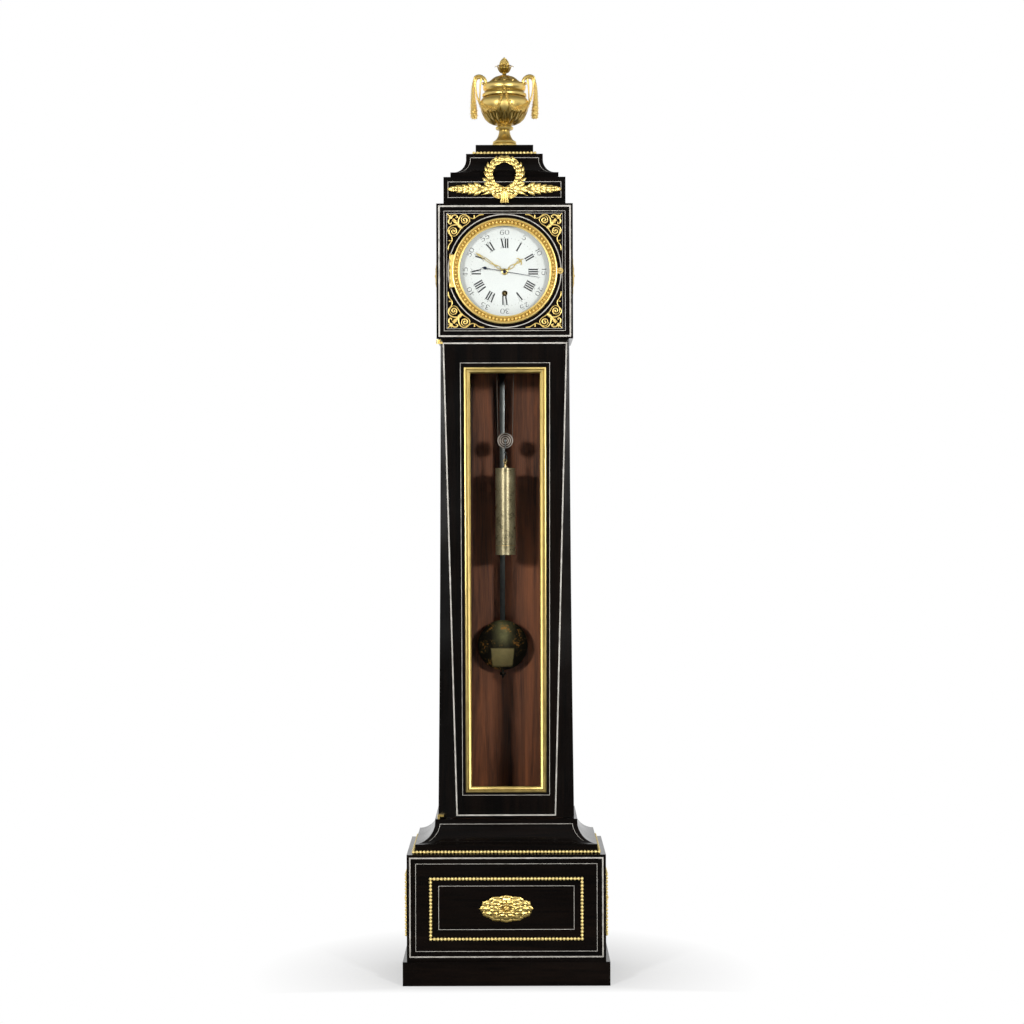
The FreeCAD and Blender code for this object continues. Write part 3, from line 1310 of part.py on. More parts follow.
def build_escapement(escape_arbor):
    """Behind the back plate: the escape wheel on its arbor, the anchor over it and the crutch."""
    front = back_plate_back + dim.escape_wheel_setback
    back = front + dim.wheel_thickness
    radius = escape_radius()
    root = radius - float(dim.escape_tooth_height)
    step = 2 * math.pi / escape_teeth
    places = []
    for tooth in range(escape_teeth):
        angle = tooth * step
        for reach, turn_share in ((radius, 0.0), (root, 0.28), (root, 0.72), (radius, 0.94)):
            way = -(angle + turn_share * step)
            places.append(Vector(dial_centre.x + reach * math.cos(way), float(front),
                                 dial_centre.z + reach * math.sin(way)))
    wheel = Part.Face(Part.makePolygon(places + places[:1])).extrude(Vector(0, float(dim.wheel_thickness), 0))
    wheel = crossed_out(wheel, dial_centre, root - float(dim.wheel_rim_width), front, back)
    shaped("escape_wheel", wheel.fuse(escape_arbor).removeSplitter())

    # The anchor spans the wheel; its pallets stand just clear of the tooth tips.
    middle = (front + back) / 2
    anchor_front = middle - dim.anchor_thickness / 2
    anchor_back = anchor_front + dim.anchor_thickness
    thick = Vector(0, float(dim.anchor_thickness), 0)
    inner = radius + float(dim.pallet_clearance)
    outer = inner + float(dim.pallet_length)
    pieces = []
    for side in (-1, 1):
        angle = math.radians(pallet_angle) * side
        outward = Vector(math.sin(angle), 0, math.cos(angle))
        along = Vector(math.cos(angle), 0, -math.sin(angle)) * (float(dim.pallet_width) / 2)
        start = Vector(dial_centre.x, float(anchor_front), dial_centre.z)
        corners = [start + outward * inner - along, start + outward * inner + along,
                   start + outward * outer + along, start + outward * outer - along]
        pieces.append(Part.Face(Part.makePolygon(corners + corners[:1])).extrude(thick))
        hub = Vector(anchor_centre.x, float(anchor_front), anchor_centre.z)
        elbow = start + outward * (outer - float(dim.pallet_arm_width) / 2)
        way = (elbow - hub).normalize()
        edge = Vector(way.z, 0, -way.x) * (float(dim.pallet_arm_width) / 2)
        corners = [hub - edge, hub + edge, elbow + edge, elbow - edge]
        pieces.append(Part.Face(Part.makePolygon(corners + corners[:1])).extrude(thick))
    centre = place_of(anchor_centre)
    hub = rod_along_y(centre, dim.anchor_hub_radius, anchor_front, anchor_back)
    crutch_front = back_plate_back + dim.crutch_setback
    crutch_back = crutch_front + dim.crutch_thickness
    pieces.append(arbor(anchor_centre, dim.arbor_radius, front_plate_front, crutch_back))
    shaped("pallet_anchor", hub.fuse(pieces).removeSplitter())

    foot_height = anchor_height - dim.crutch_drop
    half = dim.crutch_width / 2
    offset = -dim.pendulum_offset
    stem = front_prism([(-half, anchor_height), (half, anchor_height), (offset + half, foot_height),
                        (offset - half, foot_height)], crutch_front, crutch_back)
    eye = rod_along_y(centre, dim.crutch_width, crutch_front, crutch_back)
    fork_front = dim.pendulum_plane - dim.fork_tine_length / 2
    fork_back = fork_front + dim.fork_tine_length
    bar_front = fork_front - dim.fork_bar_thickness
    post = solid_block((offset - half, crutch_front, foot_height), (offset + half, bar_front, foot_height + dim.crutch_width))
    clear = dim.rod_width / 2 + dim.fork_gap
    wide = clear + dim.fork_tine_width
    bar = solid_block((offset - wide, bar_front, foot_height), (offset + wide, fork_front, foot_height + dim.crutch_width))
    tines = []
    for left, right in ((offset - wide, offset - clear), (offset + clear, offset + wide)):
        tines.append(solid_block((left, fork_front, foot_height), (right, fork_back, foot_height + dim.crutch_width)))
    bore = rod_along_y(centre, dim.arbor_radius + dim.running_gap, crutch_front - dim.overrun,
                       crutch_back + dim.overrun)
    shaped("crutch", stem.fuse([eye, post, bar] + tines).cut(bore).removeSplitter())


def hand_blade(length, width, lozenge, front, angle, boss_radius, bore_radius, tail=zero):
    """A hand pointing up, with a boss and a lozenge near its tip, turned clockwise to its place."""
    thick = Vector(0, float(dim.hand_thickness), 0)
    tip = float(length)
    narrow = float(width) / 2
    broad = float(lozenge) / 2
    start = -float(tail)
    profile = [(-narrow, start), (narrow, start), (narrow, tip - 3 * broad), (broad, tip - 2.2 * broad),
               (narrow, tip - 1.3 * broad), (narrow / 3, tip), (-narrow / 3, tip), (-narrow, tip - 1.3 * broad),
               (-broad, tip - 2.2 * broad), (-narrow, tip - 3 * broad)]
    places = [Vector(across, 0, up) for across, up in profile]
    blade = Part.Face(Part.makePolygon(places + places[:1])).extrude(thick)
    boss = Part.makeCylinder(float(boss_radius), float(dim.hand_thickness), Vector(0, 0, 0), Vector(0, 1, 0))
    bore = Part.makeCylinder(float(bore_radius + dim.running_gap), float(dim.hand_thickness * 3),
                             Vector(0, -float(dim.hand_thickness), 0), Vector(0, 1, 0))
    hand = blade.fuse(boss).cut(bore).removeSplitter()
    hand.rotate(Vector(0, 0, 0), Vector(0, 1, 0), angle)
    hand.translate(Vector(0, float(front), float(dial_height)))
    return hand


def build_motion_work():
    """Cannon pipe, motion wheel and hour wheel in front of the plate, and the three hands."""
    module = float(dim.motion_module)
    centre = place_of(dial_centre)
    gap = dim.running_gap
    thickness = dim.hand_thickness
    cannon = toothed(dial_centre, cannon_teeth, module, cannon_phase, motion_front, motion_back, pinion=True)
    pipe = rod_along_y(centre, dim.cannon_pipe_radius, minute_hand_front, motion_back)
    bore = rod_along_y(centre, dim.arbor_radius + gap, minute_hand_front - dim.overrun, motion_back + dim.overrun)
    shaped("cannon_pipe", cannon.fuse(pipe).cut(bore).removeSplitter())

    motion_place = place_of(motion_centre)
    wheel = toothed(motion_centre, motion_teeth, module, motion_phase, motion_front, motion_back)
    pinion = toothed(motion_centre, motion_pinion_teeth, module, motion_pinion_phase,
                     hour_front - thickness, motion_front, pinion=True)
    stud_bore = rod_along_y(motion_place, dim.motion_stud_radius + gap, hour_front - dim.overrun,
                            motion_back + dim.overrun)
    shaped("motion_wheel", wheel.fuse(pinion).cut(stud_bore).removeSplitter())

    hour_wheel = toothed(dial_centre, hour_teeth, module, hour_phase, hour_front, hour_back)
    pipe = rod_along_y(centre, dim.hour_pipe_radius, hour_hand_front, hour_back)
    bore = rod_along_y(centre, dim.cannon_pipe_radius + gap, hour_hand_front - dim.overrun, hour_back + dim.overrun)
    shaped("hour_wheel", hour_wheel.fuse(pipe).cut(bore).removeSplitter())

    shaped("hour_hand", hand_blade(dial_radius * hand_length_shares["hour_share"], dim.hand_width, dim.hand_lozenge_width, hour_hand_front,
                                   hour_hand_angle, dim.hand_boss_radius, dim.hour_pipe_radius))
    shaped("minute_hand", hand_blade(dial_radius * hand_length_shares["minute_share"], dim.hand_width * 0.8, dim.hand_lozenge_width * 0.8,
                                     minute_hand_front, minute_hand_angle, dim.hand_boss_radius * 0.8,
                                     dim.cannon_pipe_radius))
    shaped("second_hand", hand_blade(dial_radius * hand_length_shares["second_share"], dim.second_hand_width, dim.second_hand_width * 2,
                                     second_hand_front, second_hand_angle, dim.second_boss_radius,
                                     dim.arbor_radius, dial_radius * hand_length_shares["second_tail_share"]))


def build_weight():
    """A brass cased weight under its pulley, and the gut line that carries them."""
    place = (zero, dim.weight_plane, zero)
    low = pulley_height - dim.weight_hang
    high = low + dim.weight_height
    bar_high = pulley_height - dim.stirrup_drop + dim.stirrup_bar_height
    bar_low = pulley_height - dim.stirrup_drop
    turned("weight", "Z", [
        (zero, low), (dim.weight_radius, low), (dim.weight_radius, high), (dim.weight_neck_radius, high),
        (dim.weight_neck_radius, high + dim.weight_cap_height), (zero, high + dim.weight_cap_height),
    ], place)

    half = dim.pulley_width / 2
    groove = dim.pulley_gut_radius - dim.gut_radius * 2
    turned("pulley", "Y", [
        (dim.axle_radius + dim.running_gap, -half), (dim.pulley_radius, -half), (groove, zero),
        (dim.pulley_radius, half), (dim.axle_radius + dim.running_gap, half),
    ], (zero, dim.weight_plane, pulley_height))

    inside = half + dim.stirrup_gap
    outside = inside + dim.stirrup_thickness
    wide = dim.stirrup_width / 2
    plane = dim.weight_plane
    centre = (zero, pulley_height)
    pieces = []
    for front, back in ((plane - outside, plane - inside), (plane + inside, plane + outside)):
        pieces.append(solid_block((-wide, front, bar_low), (wide, back, pulley_height)))
        pieces.append(rod_along_y(centre, wide, front, back))
    pieces.append(rod_along_y(centre, dim.axle_radius, plane - outside, plane + outside))
    pieces.append(rod_along_z((zero, plane), dim.stirrup_stem_radius, high + dim.weight_cap_height, bar_high))
    bar = solid_block((-wide, plane - outside, bar_low), (wide, plane + outside, bar_high))
    shaped("pulley_stirrup", bar.fuse(pieces).removeSplitter())


def gut_tube(edges):
    """A length of gut swept along its route, with a few flat sides."""
    path = Part.Wire([edge.toShape() for edge in edges])
    start = edges[0].StartPoint
    way = (edges[0].EndPoint - start).normalize()
    across = Vector(way.z, 0, -way.x)
    corners = []
    for corner in range(gut_sides):
        turn = 2 * math.pi * corner / gut_sides
        corners.append(start + across * (float(dim.gut_radius) * math.cos(turn))
                       + Vector(0, float(dim.gut_radius) * math.sin(turn), 0))
    section = Part.makePolygon(corners + corners[:1])
    tube = path.makePipeShell([section], True, True, 1)
    print(f"gut {path.Length:.1f} mm long, {tube.Volume / Part.Face(section).Area / path.Length:.4f} of its full volume")
    return tube


def build_gut_line():
    """Down from the seat board, under the pulley, up through the board's slot and over the barrel."""
    plane = float(dim.weight_plane)
    low_radius = float(dim.pulley_gut_radius)
    high_radius = float(dim.barrel_gut_radius)
    rise = float(barrel_height - pulley_height)
    lean = math.asin((high_radius - low_radius) / rise)
    pulley = Vector(0, plane, float(pulley_height))
    barrel = Vector(0, plane, float(barrel_height))
    side = Vector(-math.cos(lean), 0, -math.sin(lean))
    left_low = pulley + side * low_radius
    left_high = barrel + side * high_radius
    right_low = Vector(-left_low.x, plane, left_low.z)
    cut = float(seat_low)
    left_cut = Vector(left_low.x - (cut - left_low.z) * math.tan(lean), plane, cut)
    right_cut = Vector(-left_cut.x, plane, cut)
    bottom = pulley - Vector(0, 0, low_radius)
    top = barrel + Vector(0, 0, high_radius)
    shaped("gut_line", gut_tube([Part.LineSegment(right_cut, right_low), Part.Arc(right_low, bottom, left_low),
                                 Part.LineSegment(left_low, left_cut)]))
    shaped("gut_on_barrel", gut_tube([Part.LineSegment(left_cut, left_high),
                                      Part.Arc(left_high, top, barrel + Vector(high_radius, 0, 0))]))


def build_pendulum():
    """Suspension cock on the backboard, spring, flat rod, lens bob and rating nut."""
    offset = -dim.pendulum_offset
    plane = dim.pendulum_plane
    pin = (offset, anchor_height)
    pin_radius = dim.suspension_pin_radius
    gap = dim.suspension_ear_gap / 2
    outer = gap + dim.suspension_ear_thickness
    half = dim.suspension_ear_width / 2
    board_front = back_plane - dim.backboard_thickness
    slab_low = anchor_height + dim.suspension_ear_drop
    slab_high = slab_low + dim.suspension_slab_height
    pieces = [solid_block((offset - half, plane - outer, slab_low), (offset + half, board_front, slab_high))]
    for front, back in ((plane - outer, plane - gap), (plane + gap, plane + outer)):
        pieces.append(solid_block((offset - half, front, anchor_height - dim.suspension_ear_drop),
                                  (offset + half, back, slab_low)))
    foot_half = dim.suspension_foot_width / 2
    foot_rise = (dim.suspension_foot_height - dim.suspension_slab_height) / 2
    foot = solid_block((offset - foot_half, board_front - dim.suspension_foot_thickness, slab_low - foot_rise),
                       (offset + foot_half, board_front, slab_high + foot_rise))
    bore = rod_along_y(pin, pin_radius + dim.running_gap, plane - outer - dim.overrun, plane + outer + dim.overrun)
    shaped("suspension_cock", foot.fuse(pieces).cut(bore).removeSplitter())

    chop_high = anchor_height - dim.spring_length + dim.spring_chop_height / 2
    chop_low = chop_high - dim.spring_chop_height
    top_pin = rod_along_y(pin, pin_radius, plane - outer, plane + outer)
    leaf_half = dim.spring_thickness / 2
    leaf = solid_block((offset - leaf_half, plane - dim.spring_width / 2, chop_high),
                       (offset + leaf_half, plane + dim.spring_width / 2, anchor_height))
    chop_half = dim.spring_chop_width / 2
    chop = solid_block((offset - chop_half, plane - dim.spring_width / 2, chop_low),
                       (offset + chop_half, plane + dim.spring_width / 2, chop_high))
    shaped("suspension_spring", top_pin.fuse([leaf, chop]).removeSplitter())

    bob_height = anchor_height - dim.bob_drop
    bob_low = bob_height - dim.bob_radius
    nut_low = bob_low - dim.nut_height
    rod_low = nut_low - dim.rod_end_length
    rod_half = dim.rod_width / 2
    rod_deep = dim.rod_thickness / 2
    rod = solid_block((offset - rod_half, plane - rod_deep, rod_low),
                      (offset + rod_half, plane + rod_deep, chop_low))

    lens_half = dim.bob_thickness / 2
    rim_half = dim.bob_rim_thickness / 2
    swell = lens_half - rim_half
    back_curve = [(dim.bob_radius * share, rim_half + swell * (1 - share ** 2)) for share in bob_ring_shares]
    front_curve = [(radius, -depth) for radius, depth in reversed(back_curve)]
    lens = turned_shape("Y", front_curve + back_curve, (offset, plane, bob_height))
    nut = rod_along_z((offset, plane), dim.nut_radius, nut_low, bob_low)
    slot_half = rod_half + dim.bob_slot_gap
    slot_deep = rod_deep + dim.bob_slot_gap
    slot = solid_block((offset - slot_half, plane - slot_deep, nut_low - dim.overrun),
                       (offset + slot_half, plane + slot_deep, bob_height + dim.bob_radius + dim.overrun))
    shaped("pendulum", Part.makeCompound([rod, lens.cut(slot), nut.cut(slot)]))


build_plinth_and_base()
build_base_mounts()
build_trunk()
build_door()
build_hood()
build_hood_mounts()
build_wreath()
build_urn()
build_bezel()
build_movement_frame()
build_dial()
build_barrel()
build_escapement(build_train())
build_motion_work()
build_weight()
build_gut_line()
build_pendulum()
doc.recompute()

# Helper shapes that only serve a cut are left out of the parts.
helpers = {"hood_front_panel", "hood_front_hole"}
kinds = ("PartDesign::Body", "Part::Box", "Part::Cut", "Part::Feature")
parts = [item for item in doc.Objects if item.TypeId in kinds and item.Label not in helpers]
for item in doc.Objects:
    if "Invalid" in item.State or "Error" in item.State:
        raise RuntimeError(f"{item.Label} failed: {item.State}")
for item in parts:
    if item.Shape.isNull() or not item.Shape.isValid() or not item.Shape.Solids:
        raise RuntimeError(f"{item.Label} has no valid solid")
os.makedirs("parts", exist_ok=True)
for item in parts:
    item.Shape.exportStep(os.path.join("parts", f"{item.Label}.step"))
print(f"{len(parts)} parts written")
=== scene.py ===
import math

import bmesh
import bpy
from mathutils import Matrix, Vector


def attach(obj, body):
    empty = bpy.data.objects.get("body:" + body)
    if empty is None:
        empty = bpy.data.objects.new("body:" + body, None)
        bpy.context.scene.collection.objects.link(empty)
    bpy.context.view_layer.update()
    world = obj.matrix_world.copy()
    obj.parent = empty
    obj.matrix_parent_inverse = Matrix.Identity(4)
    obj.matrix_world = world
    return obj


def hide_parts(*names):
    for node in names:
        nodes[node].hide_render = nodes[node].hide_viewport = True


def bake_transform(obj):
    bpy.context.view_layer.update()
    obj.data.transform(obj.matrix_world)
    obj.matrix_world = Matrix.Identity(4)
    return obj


# Looks of a tall ebonised floor clock with gilt mounts. Its pieces are drawn in millimetres, in the frame's own
# places, and makePiece turns them into metres. The camera, lamps, floor and finishes are in metres.
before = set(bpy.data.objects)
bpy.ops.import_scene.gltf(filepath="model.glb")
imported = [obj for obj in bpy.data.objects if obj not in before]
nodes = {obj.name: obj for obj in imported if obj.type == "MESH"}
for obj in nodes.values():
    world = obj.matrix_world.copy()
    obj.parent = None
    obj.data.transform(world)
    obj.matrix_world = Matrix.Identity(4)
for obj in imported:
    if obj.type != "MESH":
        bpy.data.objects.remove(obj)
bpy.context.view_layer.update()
print("frame loaded:", len(nodes), "nodes")

view = {
    "place": (0.016, -5.372, 1.1247),
    "lens": 77.3,
    "roll": 0.165,  # degrees, clockwise seen from behind the camera
}
lamps = {
    "side": 27,  # degrees left and right of the camera
    "distance": 4.6,
    "height": 1.98,
    "size": 0.5,
    "watts": 105,
    "aim": (0, 0, 1.1),
}
studio = {
    "ambient": 0.45,  # light of the room on a dull surface
    "front": 0.015,  # what polish mirrors from behind the camera
    "above": 0.16,  # and from the ceiling
    "sides": 0.95,
    "floorColour": (0.9, 0.9, 0.9),
    "floorGlow": 0.42,  # share of plain white in the floor beside the plinth
    "floorFade": (0.26, 0.62),  # from there out to plain white alone
    "floorFront": (-0.158, -0.23),  # and towards the camera
    "floorSize": 30,
}


# one output of a node, with arithmetic that adds math nodes to its tree
class Link:
    def __init__(self, tree, socket):
        self.tree = tree
        self.socket = socket

    def other(self, name):
        return Link(self.tree, self.socket.node.outputs[name])


def arithmetic(operation, swapped):
    def result(self, other):
        first, second = (other, self) if swapped else (self, other)
        return self.tree.node("Math", {0: first, 1: second}, operation=operation)
    return result


for sign, operation in (("add", "ADD"), ("sub", "SUBTRACT"), ("mul", "MULTIPLY"), ("pow", "POWER")):
    setattr(Link, f"__{sign}__", arithmetic(operation, False))
    setattr(Link, f"__r{sign}__", arithmetic(operation, True))


class Tree:
    sockets = {"colour": "Base Color", "metal": "Metallic", "rough": "Roughness", "normal": "Normal",
               "specular": "Specular IOR Level"}

    def __init__(self, owner):
        owner.use_nodes = True
        self.nodes = owner.node_tree.nodes
        self.links = owner.node_tree.links
        self.nodes.clear()

    def node(self, kind, inputs=None, output=0, **settings):
        made = self.nodes.new("ShaderNode" + kind)
        for name, value in settings.items():
            setattr(made, name, value)
        for name, value in (inputs or {}).items():
            socket = made.inputs[name]
            if isinstance(value, Link):
                self.links.new(value.socket, socket)
            else:
                socket.default_value = (*value, 1) if socket.type == "RGBA" else value
        return Link(self, made.outputs[output]) if made.outputs else made

    def place(self, scale=(1, 1, 1), move=(0, 0, 0)):
        return self.node("Mapping", {0: self.node("TexCoord", output=3), 1: move, 3: scale})

    def noise(self, where, scale, detail=3, rough=0.55, twist=0):
        return self.node("TexNoise", {"Vector": where, "Scale": scale, "Detail": detail, "Roughness": rough,
                                      "Distortion": twist})

    def range(self, value, low, high, start=0, end=1):
        return self.node("MapRange", {0: value, 1: low, 2: high, 3: start, 4: end}, clamp=True)

    # the middle part of a noise's values, spread from start to end
    def spread(self, noise, start=0, end=1):
        return self.range(noise, 0.3, 0.7, start, end)

    def mix(self, share, first, second):
        return self.node("Mix", {0: share, 6: first, 7: second}, 2, data_type="RGBA")

    def bump(self, height, strength, distance):
        return self.node("Bump", {"Strength": strength, "Distance": distance, "Height": height})

    def surface(self, **values):
        return self.node("BsdfPrincipled", {self.sockets[name]: value for name, value in values.items()})


def addObject(name, data):
    thing = bpy.data.objects.new(name, data)
    bpy.context.scene.collection.objects.link(thing)
    return thing


def makeFinish(name, recipe, *settings):
    material = bpy.data.materials.new(name)
    tree = Tree(material)
    tree.node("OutputMaterial", {"Surface": recipe(tree, *settings)})
    return material


def setCamera():
    data = bpy.data.cameras.new("camera")
    data.lens = view["lens"]
    data.sensor_width = 36
    camera = addObject("camera", data)
    turn = Matrix.Rotation(math.radians(view["roll"]), 4, "Y") @ Matrix.Rotation(math.radians(90), 4, "X")
    camera.matrix_world = Matrix.Translation(view["place"]) @ turn
    bpy.context.scene.camera = camera


def setLamps():
    for side in (-1, 1):
        data = bpy.data.lights.new("softLamp", "AREA")
        data.shape = "DISK"
        data.size = lamps["size"]
        data.energy = lamps["watts"]
        angle, distance = math.radians(lamps["side"] * side), lamps["distance"]
        place = Vector((math.sin(angle) * distance, -math.cos(angle) * distance, lamps["height"]))
        aim = (Vector(lamps["aim"]) - place).to_track_quat("-Z", "Y")
        addObject("softLamp", data).matrix_world = Matrix.Translation(place) @ aim.to_matrix().to_4x4()


# a white room for the camera, dull light for surfaces, and pale sides and a dark front for polish to mirror
def setRoom():
    world = bpy.data.worlds.new("room")
    bpy.context.scene.world = world
    bpy.context.scene.view_settings.view_transform = "Standard"
    tree = Tree(world)
    way = tree.node("SeparateXYZ", {0: tree.node("TexCoord")})
    beside = tree.range(way.other("Y"), -0.93, -0.55, studio["front"], studio["sides"])
    low = tree.range(way.other("Z"), 0.25, 0.6, 1, studio["above"])
    rays = tree.node("LightPath")
    seen = rays.other("Is Camera Ray") + rays.other("Is Transmission Ray")
    glossy = rays.other("Is Glossy Ray")
    strength = seen + (1 - seen) * (glossy * (beside * low) + (1 - glossy) * studio["ambient"])
    background = tree.node("Background", {"Color": (1, 1, 1), "Strength": strength})
    tree.node("OutputWorld", {"Surface": background})


# dull with a soft shadow near the clock, plain white for the camera further out
def paleFloor(tree):
    where = tree.place()
    reach = tree.node("VectorMath", {0: where}, 1, operation="LENGTH")
    ahead = tree.node("SeparateXYZ", {0: where}, 1)
    edge = tree.node("Math", {0: tree.range(reach, *studio["floorFade"]),
                              1: tree.range(ahead, *studio["floorFront"])}, operation="MAXIMUM")
    rays = tree.node("LightPath")
    seen = rays.other("Is Camera Ray")
    dull = tree.surface(colour=studio["floorColour"], rough=0.75)
    glow = seen + (1 - seen) * tree.range(ahead, -0.15, 0.05, studio["front"], studio["sides"])
    plain = tree.node("Emission", {"Color": (1, 1, 1), "Strength": glow})
    share = seen * (studio["floorGlow"] + (1 - studio["floorGlow"]) * edge) + rays.other("Is Glossy Ray")
    return tree.node("MixShader", {0: share, 1: dull, 2: plain})


def setFloor():
    bm = bmesh.new()
    bmesh.ops.create_grid(bm, x_segments=2, y_segments=2, size=studio["floorSize"])
    mesh = bpy.data.meshes.new("floor")
    bm.to_mesh(mesh)
    bm.free()
    mesh.materials.append(makeFinish("paleFloor", paleFloor))
    addObject("floor", mesh)


setCamera()
setLamps()
setRoom()
setFloor()
print("camera, lamps and floor placed")


# polished ebony, its grain drawn out along one axis
def ebony(tree, stretch):
    where = tree.place(stretch)
    grain = tree.noise(where, 260, 6, 0.6, 0.3)
    broad = tree.noise(where, 24, 4, 0.6, 0.6)
    streak = tree.range(broad * 0.6 + grain * 0.4, 0.42, 0.68)
    handling = tree.noise(tree.place(), 7, 3)
    return tree.surface(colour=tree.mix(streak, (0.0022, 0.0019, 0.0018), (0.0075, 0.0045, 0.0032)), specular=0.31,
                        rough=tree.range(handling, 0.3, 0.75, 0.13, 0.24), normal=tree.bump(grain, 0.08, 0.0004))


# gilding with painted shade: darker in its hollows, where shade falls, with a random cloud of tone and a fine matted
# surface
def gilding(tree, bright, deep, punch, metal=0.93):
    where = tree.place()
    cloud = tree.noise(where, 55, 4, 0.6)
    hollow = tree.node("NewGeometry", output=7)
    # share of bright gold: low in the hollows as painted shade, and varied by a random cloud of tone
    toned = tree.range(cloud * 0.3 + tree.range(hollow, 0.44, 0.53) * 0.7, 0.15, 0.7)
    return tree.surface(colour=tree.mix(toned, deep, bright), metal=metal, rough=tree.spread(cloud, 0.3, 0.42),
                        normal=tree.bump(tree.noise(where, 2600, 2, 0.5), punch, 0.00025))


def metal(tree, bright, deep, low, high):
    cloud = tree.noise(tree.place(), 30, 4, 0.6)
    scratches = tree.noise(tree.place((1, 1, 30)), 120, 3)
    return tree.surface(colour=tree.mix(tree.range(cloud, 0.35, 0.7), deep, bright), metal=1,
                        rough=tree.spread(cloud, high, low), normal=tree.bump(scratches, 0.06, 0.0002))


def stringing(tree):
    cloud = tree.noise(tree.place(), 60, 4)
    return tree.surface(colour=tree.mix(tree.spread(cloud), (0.38, 0.36, 0.32), (0.60, 0.57, 0.52)), metal=0.3,
                        rough=tree.spread(cloud, 0.3, 0.5))


def boards(tree, dark, pale, scale, rough):
    grain = tree.noise(tree.place((1, 1, 0.05)), scale, 6, 0.65, 0.8)
    pores = tree.noise(tree.place((1, 1, 0.02)), 700, 2)
    return tree.surface(colour=tree.mix(tree.range(grain * 0.75 + pores * 0.25, 0.36, 0.68), dark, pale),
                        rough=tree.spread(grain, *rough), normal=tree.bump(pores, 0.15, 0.0003))


def enamel(tree):
    where = tree.place()
    cloud = tree.noise(where, 18, 3)
    return tree.surface(colour=tree.mix(tree.spread(cloud), (0.72, 0.725, 0.71), (0.76, 0.765, 0.755)),
                        rough=tree.spread(cloud, 0.12, 0.2), normal=tree.bump(tree.noise(where, 900, 1), 0.02, 0.0001))


# turned in grooves round a centre
def turnedMetal(tree, bright, deep, centre, rings):
    where = tree.place(move=tuple(-part for part in centre))
    groove = tree.node("TexWave", {"Vector": where, "Scale": rings, "Distortion": 0.4}, 1, wave_type="RINGS",
                       rings_direction="Y")
    cloud = tree.noise(where, 80, 3)
    return tree.surface(colour=tree.mix(tree.spread(groove * 0.75 + cloud * 0.25), deep, bright), metal=1,
                        rough=tree.spread(cloud, 0.28, 0.42), normal=tree.bump(groove, 0.35, 0.0006))


def hammered(tree, bright, deep, low, high):
    where = tree.place()
    dents = tree.node("TexVoronoi", {"Vector": where, "Scale": 300}, feature="SMOOTH_F1")
    cloud = tree.noise(where, 42, 4, 0.6)
    return tree.surface(colour=tree.mix(tree.range(cloud * 0.6 + dents * 0.5, 0.3, 0.8), deep, bright), metal=0.68,
                        rough=tree.spread(cloud, low, high), normal=tree.bump(dents * 0.7 + cloud * 0.3, 0.28, 0.0008))


# the bob is dark with warm spots, a painted sheen down its upper middle and a tapered pale patch low on its front
def tarnishedBob(tree, centre):
    where = tree.place(move=tuple(-part for part in centre))
    cloud = tree.noise(where, 34, 5, 0.65, 0.6)
    fine = tree.noise(where, 220, 3)
    parts = tree.node("SeparateXYZ", {0: where})
    across, up = parts.other("X"), parts.other("Z")
    edge, slope = cloud * 0.006, up * 0.12
    patch = tree.range(across + edge + slope, -0.029, -0.026) * tree.range(across + edge - slope, 0.034, 0.031)
    patch = patch * tree.range(up + edge, -0.052, -0.046) * tree.range(up + edge, -0.003, -0.007)
    # painted sheen: lighter down the bob's middle and towards its top
    glow = tree.range(across, -0.03, -0.005) * tree.range(across, 0.034, 0.008) * tree.range(up, -0.01, 0.02)
    colour = (0.022, 0.017, 0.011)
    for share, tint in ((tree.range(cloud * 0.8 + fine * 0.2, 0.5, 0.66), (0.10, 0.075, 0.03)),
                        (glow * (cloud * 1.1 - 0.05), (0.36, 0.33, 0.14)),
                        (tree.range(fine * 0.35 + cloud * 0.65, 0.57, 0.63) * 0.8, (0.75, 0.32, 0.06)),
                        (patch * (0.45 + cloud * 0.7), (0.66, 0.52, 0.22))):
        colour = tree.mix(share, colour, tint)
    return tree.surface(colour=colour, metal=0.75, rough=tree.range(cloud + patch * 0.1, 0.3, 0.8, 0.5, 0.32),
                        normal=tree.bump(fine, 0.08, 0.0004))


def ink(tree, dark, pale):
    cloud = tree.noise(tree.place(), 400, 2)
    return tree.surface(colour=tree.mix(tree.spread(cloud), dark, pale), rough=tree.spread(cloud, 0.25, 0.4))


# sheer, with a mirror that grows towards a glancing view
def clearGlass(tree):
    waves = tree.noise(tree.place(), 9, 2)
    glancing = tree.node("LayerWeight", {"Blend": 0.5}, 1)
    sheer = tree.node("BsdfTransparent", {"Color": (0.97, 0.98, 0.975)})
    gloss = tree.surface(colour=(0.9, 0.93, 0.92), metal=1, rough=tree.spread(waves, 0.01, 0.03),
                         normal=tree.bump(waves, 0.05, 0.002))
    return tree.node("MixShader", {0: 0.004 + glancing ** 5 * 0.5, 1: sheer, 2: gloss})


def twistedGut(tree):
    turns = tree.node("TexWave", {"Vector": tree.place(), "Scale": 900, "Distortion": 1}, 1, wave_type="BANDS",
                      bands_direction="DIAGONAL")
    return tree.surface(colour=tree.mix(turns, (0.045, 0.032, 0.024), (0.12, 0.09, 0.07)),
                        rough=tree.range(turns, 0, 1, 0.5, 0.35), normal=tree.bump(turns, 0.4, 0.0003))


